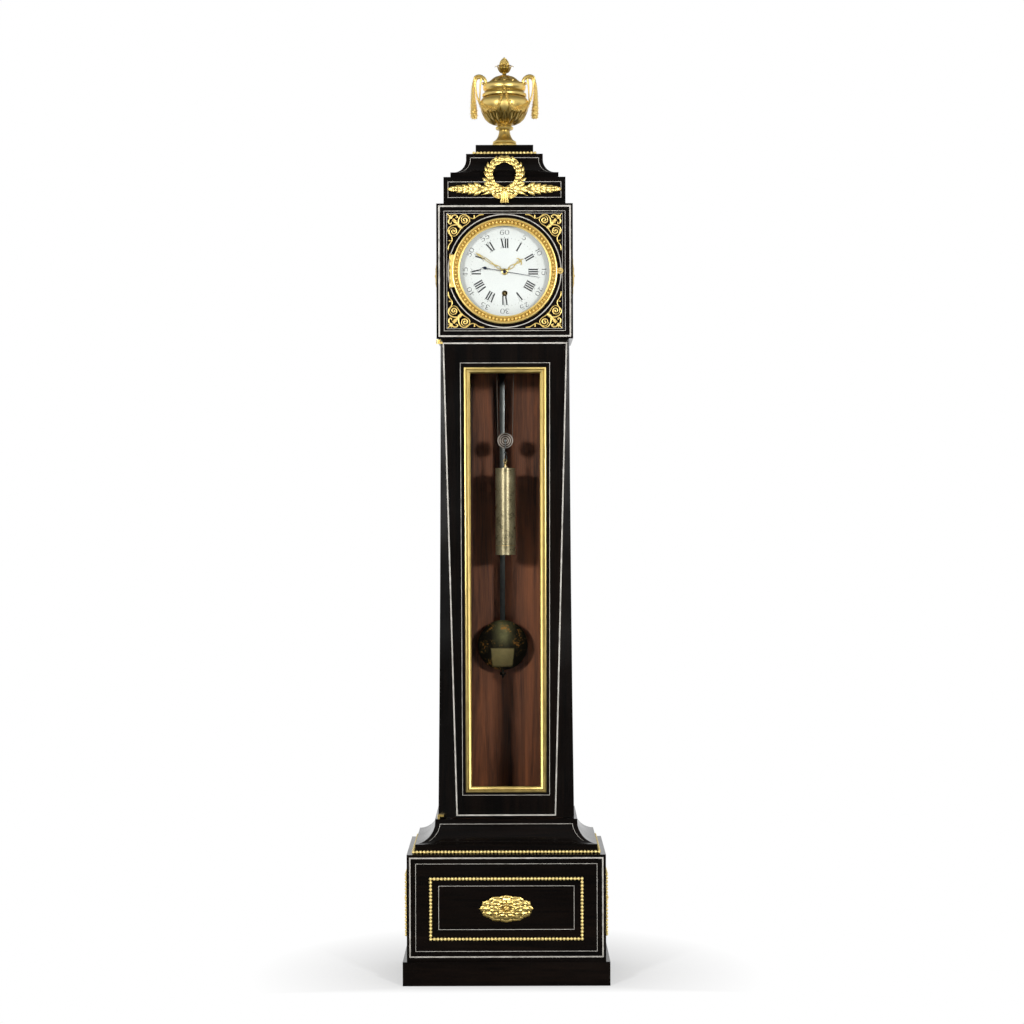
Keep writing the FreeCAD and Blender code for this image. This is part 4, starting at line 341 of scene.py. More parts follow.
# the material's name, its recipe and the recipe's settings
finishes = {
    "ebonyUp": ("ebonyUpright", ebony, (1, 1, 0.05)),
    "ebonyLevel": ("ebonyLevel", ebony, (0.05, 1, 1)),
    # each gilding's second colour is the painted shade in its hollows and the dark end of its random tone
    "gilt": ("fireGilding", gilding, (0.84, 0.62, 0.20), (0.26, 0.155, 0.02), 0.25),
    "burnished": ("burnishedGilding", gilding, (0.88, 0.65, 0.24), (0.60, 0.38, 0.09), 0.06),
    "bead": ("brightGilding", gilding, (1.0, 0.79, 0.31), (0.80, 0.56, 0.17), 0.05, 0.5),
    "bezelGilt": ("bezelGilding", gilding, (0.92, 0.68, 0.22), (0.36, 0.22, 0.03), 0.1, 0.62),
    "toned": ("wornGilding", gilding, (0.74, 0.56, 0.20), (0.30, 0.19, 0.03), 0.12, 0.95),
    "line": ("paleStringing", stringing),
    "brass": ("lacqueredBrass", metal, (0.72, 0.52, 0.24), (0.45, 0.30, 0.12), 0.22, 0.4),
    "weightBrass": ("hammeredBrass", hammered, (0.50, 0.42, 0.25), (0.22, 0.175, 0.095), 0.24, 0.38),
    "bobBrass": ("tarnishedBrass", tarnishedBob, (-0.008, 0, 0.7933)),
    "pulleySteel": ("turnedPulley", turnedMetal, (0.30, 0.26, 0.23), (0.05, 0.028, 0.02), (0, 0.03, 1.2998), 62),
    "agedSteel": ("agedSteel", metal, (0.16, 0.16, 0.16), (0.07, 0.068, 0.065), 0.3, 0.45),
    "steel": ("polishedSteel", metal, (0.56, 0.56, 0.58), (0.32, 0.32, 0.34), 0.2, 0.35),
    "rod": ("greySteelRod", metal, (0.34, 0.35, 0.34), (0.20, 0.205, 0.20), 0.3, 0.45),
    "blued": ("bluedSteel", metal, (0.05, 0.06, 0.12), (0.02, 0.02, 0.04), 0.25, 0.35),
    "mahogany": ("redMahogany", boards, (0.024, 0.008, 0.004), (0.38, 0.105, 0.026), 26, (0.35, 0.5)),
    "oak": ("oiledOak", boards, (0.10, 0.055, 0.025), (0.24, 0.15, 0.07), 40, (0.45, 0.6)),
    "enamel": ("whiteEnamel", enamel),
    "ink": ("blackInk", ink, (0.012, 0.012, 0.014), (0.0216, 0.0216, 0.0252)),
    "glass": ("clearGlass", clearGlass),
    "gut": ("twistedGut", twistedGut),
}
finishes = {name: makeFinish(*recipe) for name, recipe in finishes.items()}
print("finishes ready")

# the frame's nodes that stay in sight, by finish
nodeFinish = {
    "ebonyUp": "trunk_sides trunk_door hood_sides hood_front",
    "ebonyLevel": "plinth base_block base_moulding trunk_top_rail hood_top_board upper_block cap_moulding top_block",
    "gilt": "door_hinge_pins door_hinge_leaves",
    "brass": "movement_plates suspension_cock winding_barrel great_wheel middle_wheel third_wheel escape_wheel "
             "motion_wheel cannon_pipe hour_wheel",
    "pulleySteel": "pulley",
    "steel": "suspension_spring pallet_anchor crutch",
    "mahogany": "backboard",
    "oak": "seat_board",
    "enamel": "dial",
    "glass": "door_glass bezel_glass",
    "gut": "gut_on_barrel",
    "weightBrass": "weight",
}
for finish, names in nodeFinish.items():
    for name in names.split():
        mesh = nodes[name].data
        mesh.materials.clear()
        mesh.materials.append(finishes[finish])
print("finishes laid on the frame's nodes")


def metres(*lengths):
    return tuple(length / 1000 for length in lengths)


def makeMesh(name, bm, crease=40, weld=0.01):
    if weld:
        bmesh.ops.remove_doubles(bm, verts=bm.verts, dist=weld)
        bmesh.ops.recalc_face_normals(bm, faces=bm.faces)
    mesh = bpy.data.meshes.new(name)
    bm.to_mesh(mesh)
    bm.free()
    mesh.shade_smooth()
    mesh.set_sharp_from_angle(angle=math.radians(crease))
    return mesh


def makePiece(name, bm, body, finish, slot=None, hides=None):
    bmesh.ops.scale(bm, verts=bm.verts, vec=metres(1, 1, 1))
    mesh = bpy.data.meshes.new(name)
    bm.to_mesh(mesh)
    bm.free()
    mesh.materials.append(finishes[finish])
    piece = addObject(name, mesh)
    if body:
        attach(piece, body)
    if hides:
        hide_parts(hides)
    return piece


# a piece that is a single shape
def makeSingle(name, shape, place, *looks):
    bm = bmesh.new()
    stamp(bm, shape, place)
    makePiece(name, bm, *looks)


# copies a shape into a piece, turned inside out where a place mirrors it
def stamp(bm, shape, *places):
    for place in places:
        copy = shape.copy()
        copy.transform(place)
        if place.determinant() < 0:
            copy.flip_normals()
        bm.from_mesh(copy)
        bpy.data.meshes.remove(copy)


# a place for a shape drawn on X and Y, with Z towards whoever looks at it
def facing(origin, across=(1, 0, 0), up=(0, 0, 1)):
    across, up = Vector(across), Vector(up)
    place = Matrix((across, up, across.cross(up))).transposed().to_4x4()
    place.translation = Vector(origin)
    return place


# the case's flat faces: how far out at the sides, and the depth of the middle
faces = {
    "baseFront": (0, -145.5),
    "baseSides": (237, 4.75),
    "doorFront": (0, -72.4),
    "hoodFront": (0, -81.6),
    "hoodSides": (164.4, 36.7),
    "capFront": (0, -64.5),
    "capSides": (147.3, 45.25),
}
rosetteHeight = 181.9
dialHeight = 1704.8


# places at a height, standing proud of a face: a single one in front, a right and a left one at the sides
def onFace(name, height=0, proud=0):
    out, depth = faces[name]
    if out:
        return [facing((way * (out + proud), depth, height), (0, way, 0)) for way in (1, -1)]
    return [facing((0, depth - proud, height))]


def turned(angle, axis="Z"):
    return Matrix.Rotation(angle, 4, axis)


def shifted(*place):
    return Matrix.Translation(place)


def scaled(*factors):
    return Matrix.Diagonal((*factors, 1))


upright = Matrix.Identity(4)


def onCircle(radius, angle):
    return radius * math.cos(angle), radius * math.sin(angle)


# a profile of radii and heights turned about Z
def lathe(profile, steps=64, crease=40):
    bm = bmesh.new()
    verts = [bm.verts.new((radius, 0, height)) for radius, height in profile]
    edges = [bm.edges.new(pair) for pair in zip(verts, verts[1:])]
    bmesh.ops.spin(bm, geom=verts + edges, cent=(0, 0, 0), axis=(0, 0, 1), dvec=(0, 0, 0),
                   angle=math.tau, steps=steps, use_merge=True, use_duplicate=False)
    return makeMesh("turning", bm, crease)


def ball(radius, segments=8, rings=5):
    bm = bmesh.new()
    bmesh.ops.create_uvsphere(bm, u_segments=segments, v_segments=rings, radius=radius)
    return makeMesh("ball", bm, 180, 0.00001 * radius)


# a leaf lies along X from its stalk, keeled along its middle, with a lobed edge where lobes are asked for
def leaf(length, width, rise, curl, keel, thick, steps=(6, 2), lobes=0, cut=0, broad=0.9, blunt=0.8):
    bm = bmesh.new()
    bmesh.ops.create_grid(bm, x_segments=steps[0], y_segments=steps[1], size=0.5)
    for vert in bm.verts:
        along, side = vert.co.x + 0.5, vert.co.y * 2
        swell = max(0.0, math.sin(math.pi * min(along, 1.0) ** broad)) ** blunt
        crease = 0
        if lobes:
            notch = abs(math.cos(math.pi * lobes * along) * side)
            swell *= 1 - cut * notch
            crease = -0.5 * notch
        height = rise * math.sin(math.pi * along * 0.9) + curl * along ** 3
        height += keel * width * (1 - abs(side) + crease) * swell
        vert.co = (along * length, side * width / 2 * swell, height)
    bmesh.ops.remove_doubles(bm, verts=bm.verts, dist=length / 5000)
    bmesh.ops.recalc_face_normals(bm, faces=bm.faces)
    bmesh.ops.solidify(bm, geom=bm.faces, thickness=thick)
    return makeMesh("leaf", bm, 70, length / 5000)


# a curve's mesh from paths of x, y, z and radius; where it is smooth they are a spline's control points
def curveMesh(paths, smooth, steps, closed=False, **settings):
    line = bpy.data.curves.new("line", "CURVE")
    line.dimensions = "2D" if closed else "3D"
    line.resolution_u = steps
    for name, value in settings.items():
        setattr(line, name, value)
    for path in paths:
        spline = line.splines.new("NURBS" if smooth else "POLY")
        spline.points.add(len(path) - 1)
        for knot, (x, y, z, radius) in zip(spline.points, path):
            knot.co = (x, y, z, 1)
            knot.radius = radius
        spline.use_cyclic_u = closed
        if smooth:
            spline.order_u = 3
            spline.use_endpoint_u = not closed
    holder = bpy.data.objects.new("line", line)
    mesh = bpy.data.meshes.new_from_object(holder)
    bpy.data.objects.remove(holder)
    return mesh


def tube(path, sides=1, smooth=True):
    mesh = curveMesh([path], smooth, 4, bevel_depth=1, bevel_resolution=sides, use_fill_caps=True)
    mesh.shade_smooth()
    return mesh


# a flat plate from closed outlines, an outline inside another being a hole
def plate(outlines, thick, smooth=True):
    paths = [[(x, y, 0, 1) for x, y in outline] for outline in outlines]
    return curveMesh(paths, smooth, 3, closed=True, fill_mode="BOTH", extrude=thick / 2)


# pale inlaid lines: half width, foot, head and line width of the rectangles on each face
lines = {
    "proud": 0.25,
    "baseFront": [(231.0, 65.7, 303.6, 3.2), (216.3, 80.0, 289.0, 1.1), (161.5, 131.8, 236.4, 1.1)],
    "baseSides": [(144.0, 65.7, 303.6, 3.2), (130.0, 80.0, 289.0, 1.1), (87.0, 131.8, 236.4, 1.1)],
    "hoodFront": [(159.6, 1546.4, 1862.8, 3.6), (146.3, 1560.4, 1849.8, 1.1), (139.6, 1565.6, 1844.0, 0.8)],
    "hoodSides": [(103.5, 1546.4, 1862.8, 3.2), (90.0, 1560.4, 1849.8, 1.1)],
    "capFront": [(136.9, 1883.6, 1922.4, 1.1)],
    "capSides": [(99.0, 1883.6, 1922.4, 1.1)],
    # half width at the foot and at the head, foot, head and line width
    "door": [(120.1, 150.2, 392.6, 1533.4, 3.2), (105.3, 108.35, 441.9, 1484.8, 1.1)],
    "dialRing": (137.0, 2.2),
    # half width, front, radius and top of the hollow, inset and width of the line, first and last angle, crown line
    "baseHollow": (217.4, 125.9, 46.2, 378.2, 11.5, 1.1, 27, 85.5, None),
    "capHollow": (130.9, 48.1, 37.3, 1984.7, 9.8, 1.1, 18, 90, 1989.2),
}


def rectangle(halfWidth, low, high):
    return [(-halfWidth, low), (halfWidth, low), (halfWidth, high), (-halfWidth, high)]


def frameShape(corners, width):
    bm = bmesh.new()
    sheet = bm.faces.new([bm.verts.new((x, y, 0)) for x, y in corners])
    bmesh.ops.recalc_face_normals(bm, faces=[sheet])
    inset = bmesh.ops.inset_region(bm, faces=[sheet], thickness=width, use_even_offset=True, use_boundary=True)
    bmesh.ops.delete(bm, geom=[sheet], context="FACES_ONLY")
    raised = bmesh.ops.extrude_face_region(bm, geom=inset["faces"])["geom"]
    bmesh.ops.translate(bm, verts=[part for part in raised if isinstance(part, bmesh.types.BMVert)],
                        vec=(0, 0, lines["proud"]))
    return makeMesh("line", bm)


def layLines(bm, *names):
    for name in names:
        for half, low, high, width in lines[name]:
            stamp(bm, frameShape(rectangle(half, low, high), width), *onFace(name))


# a line up both mitred ends of a hollow moulding and across under its top
def hollowLine(half, front, radius, top, inset, width, low, high, crown):
    proud = lines["proud"]
    bm = bmesh.new()
    spots = []
    for step in range(13):
        angle = math.radians(low + (high - low) * step / 12)
        depth = radius * math.sin(angle)
        spots.append((half - depth - inset, -front + depth - proud * math.sin(angle),
                      top - (radius - proud) * math.cos(angle)))
    if crown:
        spots.append((half - radius - inset, -front + radius - proud, crown))
    for side in (1, -1):
        pairs = [(bm.verts.new((side * x, y, z)), bm.verts.new((side * (x - width), y, z))) for x, y, z in spots]
        for first, second in zip(pairs, pairs[1:]):
            bm.faces.new((first[0], first[1], second[1], second[0]))
    x, y, z = spots[-1]
    bm.faces.new([bm.verts.new((across, y, level)) for across, level in rectangle(x, z - width, z)])
    return makeMesh("hollow", bm, 40, 0)


def makeLines():
    base = bmesh.new()
    layLines(base, "baseFront", "baseSides")
    stamp(base, hollowLine(*lines["baseHollow"]), upright)
    makePiece("baseLines", base, "case", "line")

    door = bmesh.new()
    for foot, head, low, high, width in lines["door"]:
        corners = [(-foot, low), (foot, low), (head, high), (-head, high)]
        stamp(door, frameShape(corners, width), *onFace("doorFront"))
    makePiece("doorLines", door, "trunk_door", "line")

    hood = bmesh.new()
    layLines(hood, "hoodFront")
    (radius, width), proud = lines["dialRing"], lines["proud"]
    ring = lathe([(radius - width, 0), (radius - width, proud), (radius, proud), (radius, 0)], 96)
    stamp(hood, ring, *onFace("hoodFront", dialHeight))
    layLines(hood, "capFront", "hoodSides", "capSides")
    stamp(hood, hollowLine(*lines["capHollow"]), upright)
    makePiece("hoodLines", hood, "hood", "line")


makeLines()
print("pale lines laid")


beads = {
    "radius": 3.9,
    "pitch": 8.6,
    "wire": 1.0,
    "inset": 3.5,
    # piece: node it replaces, body, half width, front, back, height of the row's middle
    "strips": {"baseBeading": ("base_bead_strip", "case", 225, -133.5, 151, 314.2),
               "capBeading": ("cap_bead_strip", "hood", 78.1, 4.7, 151, 2003.2)},
    "frames": {"baseFront": (183.5, 75), "baseSides": (100, 75)},  # half width and half height
    "proud": 3.6,  # of the base, where a frame's middle lies
}


def addBeads(bm, corners, closed=False):
    bead = ball(beads["radius"])
    corners = [Vector(corner) for corner in corners]
    for start, end in zip(corners, corners[1:] + corners[:closed]):
        steps = max(1, round((end - start).length / beads["pitch"]))
        stamp(bm, bead, *[shifted(*start.lerp(end, step / steps)) for step in range(steps)])
        stamp(bm, tube([(*start, beads["wire"]), (*end, beads["wire"])], 0, False), upright)
    if not closed:
        stamp(bm, bead, shifted(*corners[-1]))


def makeBeading():
    inset = beads["inset"]
    for piece, (node, body, half, front, back, level) in beads["strips"].items():
        bm = bmesh.new()
        across, near = half - inset, front + inset
        addBeads(bm, [(-across, back, level), (-across, near, level), (across, near, level), (across, back, level)])
        makePiece(piece, bm, body, "bead", "gilt", node)
    bm = bmesh.new()
    for face, (half, rise) in beads["frames"].items():
        corners = rectangle(half - inset, inset - rise, rise - inset)
        for place in onFace(face, rosetteHeight, beads["proud"]):
            addBeads(bm, [place @ Vector((x, y, 0)) for x, y in corners], closed=True)
    makePiece("beadFrames", bm, "case", "bead", "gilt", "bead_frames")


makeBeading()
print("beading made")


# leaf rosettes on the base, lozenges on the hood's sides
rosettes = {
    "leaves": 12,
    "ball": 5.0,
    # each row's start and end from the middle, width, lift, turn, lobes and how blunt its leaves are
    "rows": [(0.24, 0.95, 0.40, 0.34, 0.0, 3, 0.6), (0.16, 0.74, 0.34, 0.46, 0.5, 2, 0.6),
             (0.06, 0.50, 0.20, 0.60, 0.0, 0, 0.9)],
    "keel": 0.32,
    "thick": 0.10,
    "cut": 0.34,  # how deep the notches between lobes go
    "tip": (0.24, 0.19, 0.4),  # length, width and keel of the small leaves at a lobed leaf's end
    "tipLeans": (-0.55, 0, 0.55),
    "collar": [(1.5, 0), (1.4, 0.52), (1.1, 0.62), (0, 0.64)],  # shares of the ball's radius and of the depth
    # half width, half height and depth on each face
    "baseFront": (65.5, 33, 12.5),
    "baseSides": (48, 33, 12.5),
    "hoodSides": (35, 58.5, 8),
}


# rings of lobed leaves round a ball, drawn on a unit circle and then stretched to the mount's shape
def addRosette(bm, face, height, diamond=False):
    places = onFace(face, height)
    halfWidth, halfHeight, depth = rosettes[face]
    count, thick, size = rosettes["leaves"], rosettes["thick"], rosettes["ball"]
    long, wide, keel = rosettes["tip"]
    for start, end, width, lift, offset, lobes, blunt in rosettes["rows"]:
        tip = leaf(long, wide, lift * 0.3, -lift * 0.2, keel, thick, broad=1.3, blunt=0.45)
        for number in range(count):
            turn = math.tau * (number + offset) / count
            reach = end / (abs(math.cos(turn)) + abs(math.sin(turn))) ** 0.9 if diamond else end
            shape = leaf(reach - start, width * reach ** 0.5, lift, -lift * 0.5, rosettes["keel"], thick, (12, 4),
                         lobes, rosettes["cut"], 1.5, blunt)
            spot = scaled(halfWidth, halfHeight, depth) @ turned(turn) @ shifted(start, 0, lift * 0.3)
            stamp(bm, shape, *[place @ spot for place in places])
            for lean in rosettes["tipLeans"] if lobes else ():
                root = shifted(reach - start - 0.20 - abs(lean) * 0.05, lean * width * 0.25, lift * 0.24)
                stamp(bm, tip, *[place @ spot @ root @ turned(lean) for place in places])
    stamp(bm, lathe([(size * out, depth * up) for out, up in rosettes["collar"]], 24), *places)
    stamp(bm, ball(size, 16, 10), *[place @ shifted(0, 0, depth - size) for place in places])


def makeRosettes():
    bm = bmesh.new()
    addRosette(bm, "baseFront", rosetteHeight)
    addRosette(bm, "baseSides", rosetteHeight)
    makePiece("baseRosettes", bm, "case", "gilt", "gilt", "base_rosettes")
    bm = bmesh.new()
    addRosette(bm, "hoodSides", dialHeight, diamond=True)
    makePiece("sideMounts", bm, "hood", "gilt", "gilt", "side_mounts")


makeRosettes()
print("rosettes made")


# moulded frame round the trunk's window
windowFrame = {
    "corners": [(-96.7, 449.1), (96.7, 449.1), (98.9, 1473.7), (-98.9, 1473.7)],
    "width": 14.3,
    # share of the width from the outer edge, and how far it stands proud
    "profile": [(0, 0), (0, 3.4), (0.1, 4.2), (0.24, 4.4), (0.34, 4), (0.38, 2.4), (0.46, 2.4), (0.54, 3),
                (0.76, 2.2), (0.92, 0.6), (1, 0.2), (1, -6)],
}


def makeWindowFrame():
    bm = bmesh.new()
    loops = []
    for share, proud in windowFrame["profile"]:
        step = share * windowFrame["width"]
        loops.append([bm.verts.new((x - math.copysign(step, x), y + side * step, proud))
                      for (x, y), side in zip(windowFrame["corners"], (1, 1, -1, -1))])
    for first, second in zip(loops, loops[1:]):
        for index in range(4):
            bm.faces.new((first[index - 1], first[index], second[index], second[index - 1]))
    makeSingle("windowMoulding", makeMesh("reed", bm, 25), *onFace("doorFront"), "trunk_door", "toned", "gilt",
               "window_frame")


makeWindowFrame()
print("window frame made")


# urn with its handles, swags, leaves and cone, with heights above its centre
urn = {
    "centre": (0, 83.65, 2000),
    "foot": [(0, 23.8), (31.2, 23.8), (32.8, 25.5), (33, 30), (32.2, 34.5), (29.5, 36.2), (28.5, 37.2),
             (29.4, 39.5), (28.8, 42.5), (26.2, 44.5), (24, 45.5), (20.5, 49), (17.2, 54.5), (14.8, 61), (13.4, 68),
             (13.8, 71.2), (16.5, 71.8), (20.8, 73.2), (22.1, 76.5), (21, 79.5), (17.8, 80.5), (17.2, 82.2),
             (18.8, 83.8), (18.4, 85.6)],
    "bowl": [(18.4, 85.6), (26, 87.6), (36, 93.5), (46, 102.5), (53.5, 113), (58.2, 123), (60.2, 133), (60, 141),
             (57.5, 146.5), (53.5, 151), (50.5, 153)],
    "band": [(50.5, 153), (54, 154), (54.8, 156), (54.8, 159.5), (53.8, 161.5), (50, 162.5), (47.4, 164),
             (47.4, 166.8), (50, 168.2), (52, 171.5), (53, 176), (52.7, 181), (51.2, 185), (49, 186.8)],
    "lid": [(49, 186.8), (43, 187.4), (36, 188), (31.8, 190.2), (27.2, 194.8), (22.2, 199), (16.5, 201.8),
            (10.5, 204), (6.4, 206.6), (4.6, 211)],
    "cup": [(4.6, 211), (6.2, 213.8), (10, 218), (12.6, 223), (13.4, 227.5), (12, 231), (9, 232.2), (0, 232.5)],
    "cupLip": [(6, 213.5), (10.2, 217.6), (13.4, 223.2), (14.6, 228), (17.2, 230.8), (20.5, 231.4), (22.8, 230.2),
               (23.6, 228)],
    # rings of leaves: a leaf's settings after length and width, the profile it lies on, how many there are, first
    # turn, start and end along the profile and share of the ring's width
    "leaves": [((0.0022, 0.0012, 0.0010, 0.0008, (12, 6), 3, 0.30, 0.62), "bowl", 18, 0.5, 0.04, 0.52, 1.02),
               ((0.0014, 0.0004, 0.0007, 0.0006, (8, 4), 0, 0, 0.7), "bowl", 18, 1.0, 0.04, 0.62, 0.55),
               ((0.0024, 0.0016, 0.0010, 0.0008, (12, 6), 4, 0.32, 0.62), "lid", 10, 0.5, 0.94, 0.14, 1.1),
               ((0.0006, 0.0004, 0.0010, 0.0007, (12, 4), 0, 0, 0.5), "cupLip", 8, 0.0, 0.0, 1.0, 1.05)],
    "ribSizes": [3.0, 3.6, 3.6, 3.1, 2.4, 1.7, 1.0],
    "cone": (11.2, 231.8, 254.5),  # radius, foot and tip
    "coneRows": 8,
    "coneColumns": 10,
    # bearing from the middle of the front in degrees, height and thickness, from the boss to a handle's foot
    "swag": [(3, 164, 2), (5, 150, 2.4), (10, 134, 3), (19, 119.5, 3.7), (32, 115, 4), (48, 121, 3.7),
             (66, 132, 3.1), (84, 143, 2.4)],
    "swagOut": 2.6,  # from the bowl
    "swagStep": 4.6,  # from one ring of leaves to the next
    "dropStep": 5.8,
    "boss": [(4.0, -2.0), (4.0, 1.2), (3.0, 2.6), (2.0, 1.8), (1.2, 3.0), (0, 3.4)],
    "bossPlace": (51, 0, 166.8),
    # distance out, height and thickness
    "drop": [(74.5, 199, 1.8), (76.8, 190, 2.4), (77.8, 178, 3.2), (77.8, 165, 4), (77.2, 150, 4.7),
             (76.6, 135, 5.4), (75.8, 120, 5.9), (75.2, 108, 5.6), (75, 104, 3.6)],
    "outerStrap": [(60.5, 138, 2.8), (64, 145, 2.4), (67.8, 155, 2.1), (70.5, 168, 2.1), (72.2, 182, 2.4),
                   (72.8, 193, 3.4), (70, 201, 4.4), (63, 204, 4.6), (54, 203, 4.4), (47.5, 197.5, 4),
                   (45.5, 190, 3.4), (48, 185, 2.8), (52, 186.2, 2.2)],
    "innerStrap": [(57, 201, 3), (58.5, 193, 2.4), (60.2, 180, 1.9), (60.6, 165, 1.7), (61.2, 152, 1.9),
                   (62, 143, 2.2)],
    "crest": [(75.2, 196, 1.2), (75.5, 202.5, 1.9), (70.2, 207.5, 2.4), (62.5, 209.1, 2.4), (54.5, 207.7, 2),
              (46.8, 202, 1.2)],
    "crestRows": (-4.0, -1.4, 1.4, 4.0),
    "bud": [(0, -1.0), (1.8, 0), (2.4, 1.8), (1.8, 3.6), (0, 5.0)],
    "budPlace": (74.2, 0, 200.2),
    "eyePlace": (52, 0, 187.8),
    "eyeRadius": 4,
}


# the place and outward lean at a share of a profile's length
def alongProfile(profile, share):
    lengths = [math.dist(first, second) for first, second in zip(profile, profile[1:])]
    left = share * sum(lengths)
    for length, first, second in zip(lengths, profile, profile[1:]):
        if left <= length or second == profile[-1]:
            radius, height = Vector(first).lerp(Vector(second), left / length)
            return radius, height, math.atan2(second[1] - first[1], second[0] - first[0])
        left -= length


# lays a leaf, drawn from 0 to 1 along, -1 to 1 across and in metres of thickness, onto a turned surface
def wrapped(shape, profile, start, end, halfAngle):
    copy = shape.copy()
    for vert in copy.vertices:
        radius, height, lean = alongProfile(profile, min(1, max(0, start + (end - start) * vert.co.x)))
        out = vert.co.z * 1000
        vert.co = (*onCircle(radius + math.sin(lean) * out, vert.co.y * halfAngle), height - math.cos(lean) * out)
    return copy


def bowlRadius(level):
    profile = urn["bowl"] + urn["band"]
    for first, second in zip(profile, profile[1:]):
        if first[1] <= level <= second[1]:
            return first[0] + (second[0] - first[0]) * (level - first[1]) / (second[1] - first[1])


# a rope of small leaves along a path of places and thicknesses
def garland(path, every):
    bm = bmesh.new()
    bm.from_mesh(tube([(x, y, z, size * 1.1) for x, y, z, size in path]))
    spots = [vert.co.copy() for vert in curveMesh([path], True, 8).vertices]
    length = sum((second - first).length for first, second in zip(spots, spots[1:]))
    count = max(3, int(length / every))
    shape = leaf(1.75, 1.7, 0.30, -0.35, 0.30, 0.3, (5, 4), broad=0.8)
    for number in range(count):
        share = (number + 0.5) / count
        index = min(len(spots) - 2, int(share * (len(spots) - 1)))
        along = (spots[index + 1] - spots[index]).normalized()
        before, part = divmod(share * (len(path) - 1), 1)
        size, after = path[int(before)][3], path[int(before) + 1][3]
        size += (after - size) * part
        for spoke in range(5):
            side = along.orthogonal().normalized()
            side.rotate(Matrix.Rotation(math.tau * (spoke + number * 0.5) / 5, 3, along))
            out = (along * 0.88 + side * 0.40).normalized()
            place = facing(spots[index] + side * size * 0.85, out, along.cross(side))
            stamp(bm, shape, place @ scaled(size, size, size))
    return makeMesh("garland", bm, 60, 0)


def addUrnHandles(bm):
    drop = garland([(x, 0, z, size) for x, z, size in urn["drop"]], urn["dropStep"])
    outer, inner, crest = [tube([(x, 0, z, size) for x, z, size in urn[part]], sides)
                           for part, sides in (("outerStrap", 2), ("innerStrap", 2), ("crest", 1))]
    for turn in (upright, turned(math.pi)):
        for shape in (drop, outer, inner):
            stamp(bm, shape, turn)
        for offset in urn["crestRows"]:
            stamp(bm, crest, turn @ shifted(0, offset, -abs(offset) * 0.4))
        stamp(bm, ball(urn["eyeRadius"], 12, 8), turn @ shifted(*urn["eyePlace"]))
        stamp(bm, lathe(urn["bud"], 10), turn @ shifted(*urn["budPlace"]))


# overlapping scales on a core that swells and narrows to a tip
def addCone(bm):
    radius, low, high = urn["cone"]
    rows, columns = urn["coneRows"], urn["coneColumns"]
    scale = ball(3, 6, 4)
    for row in range(rows):
        share = (row + 0.4) / rows
        ring = radius * math.sin(math.pi * (0.38 + 0.6 * share)) * 0.84
        size = 0.45 + 0.75 * ring / radius
        for column in range(columns):
            turn = turned(math.tau * (column + 0.5 * (row % 2)) / columns)
            stamp(bm, scale, turn @ shifted(ring, 0, low + (high - low - 3) * share) @ turned(0.6, "Y")
                  @ scaled(size, size, size * 0.9))
    core = [(radius * 0.86 * math.sin(math.pi * (0.38 + 0.6 * step / 8)), low + (high - low - 2) * step / 8)
            for step in range(9)]
    stamp(bm, lathe([(0, low)] + core + [(0, high)], 24), upright)


def makeUrn():
    bm = bmesh.new()
    rest = [part for name in ("bowl", "band", "lid", "cup") for part in urn[name][1:]]
    stamp(bm, lathe(urn["foot"] + rest, 72, 32), upright)
    rib = [(radius * 1.03, 0, height + 1) for radius, height in urn["lid"][2:9]]
    rib = tube([(*spot, size) for spot, size in zip(rib, urn["ribSizes"])], 2)
    for form, profile, count, first, start, end, wide in urn["leaves"]:
        shape = wrapped(leaf(1, 2, *form), urn[profile], start, end, math.pi / count * wide)
        turns = [turned(math.tau * (number + first) / count) for number in range(count)]
        stamp(bm, shape, *turns)
        if profile == "lid":
            stamp(bm, rib, *turns)
    addCone(bm)
    swag = []
    for bearing, level, size in urn["swag"]:
        swag.append((*onCircle(bowlRadius(level) + urn["swagOut"], math.radians(bearing)), level, size))
    hang = garland(swag, urn["swagStep"])
    for way in (-1, 1):
        front = turned(way * math.pi / 2)
        stamp(bm, hang, front, front @ scaled(1, -1, 1))
        stamp(bm, lathe(urn["boss"], 16), front @ shifted(*urn["bossPlace"]) @ turned(math.pi / 2, "Y"))
    addUrnHandles(bm)
    bmesh.ops.translate(bm, verts=bm.verts, vec=urn["centre"])
    makePiece("urnFinial", bm, "hood", "gilt", "gilt", "urn")


makeUrn()
print("urn made")


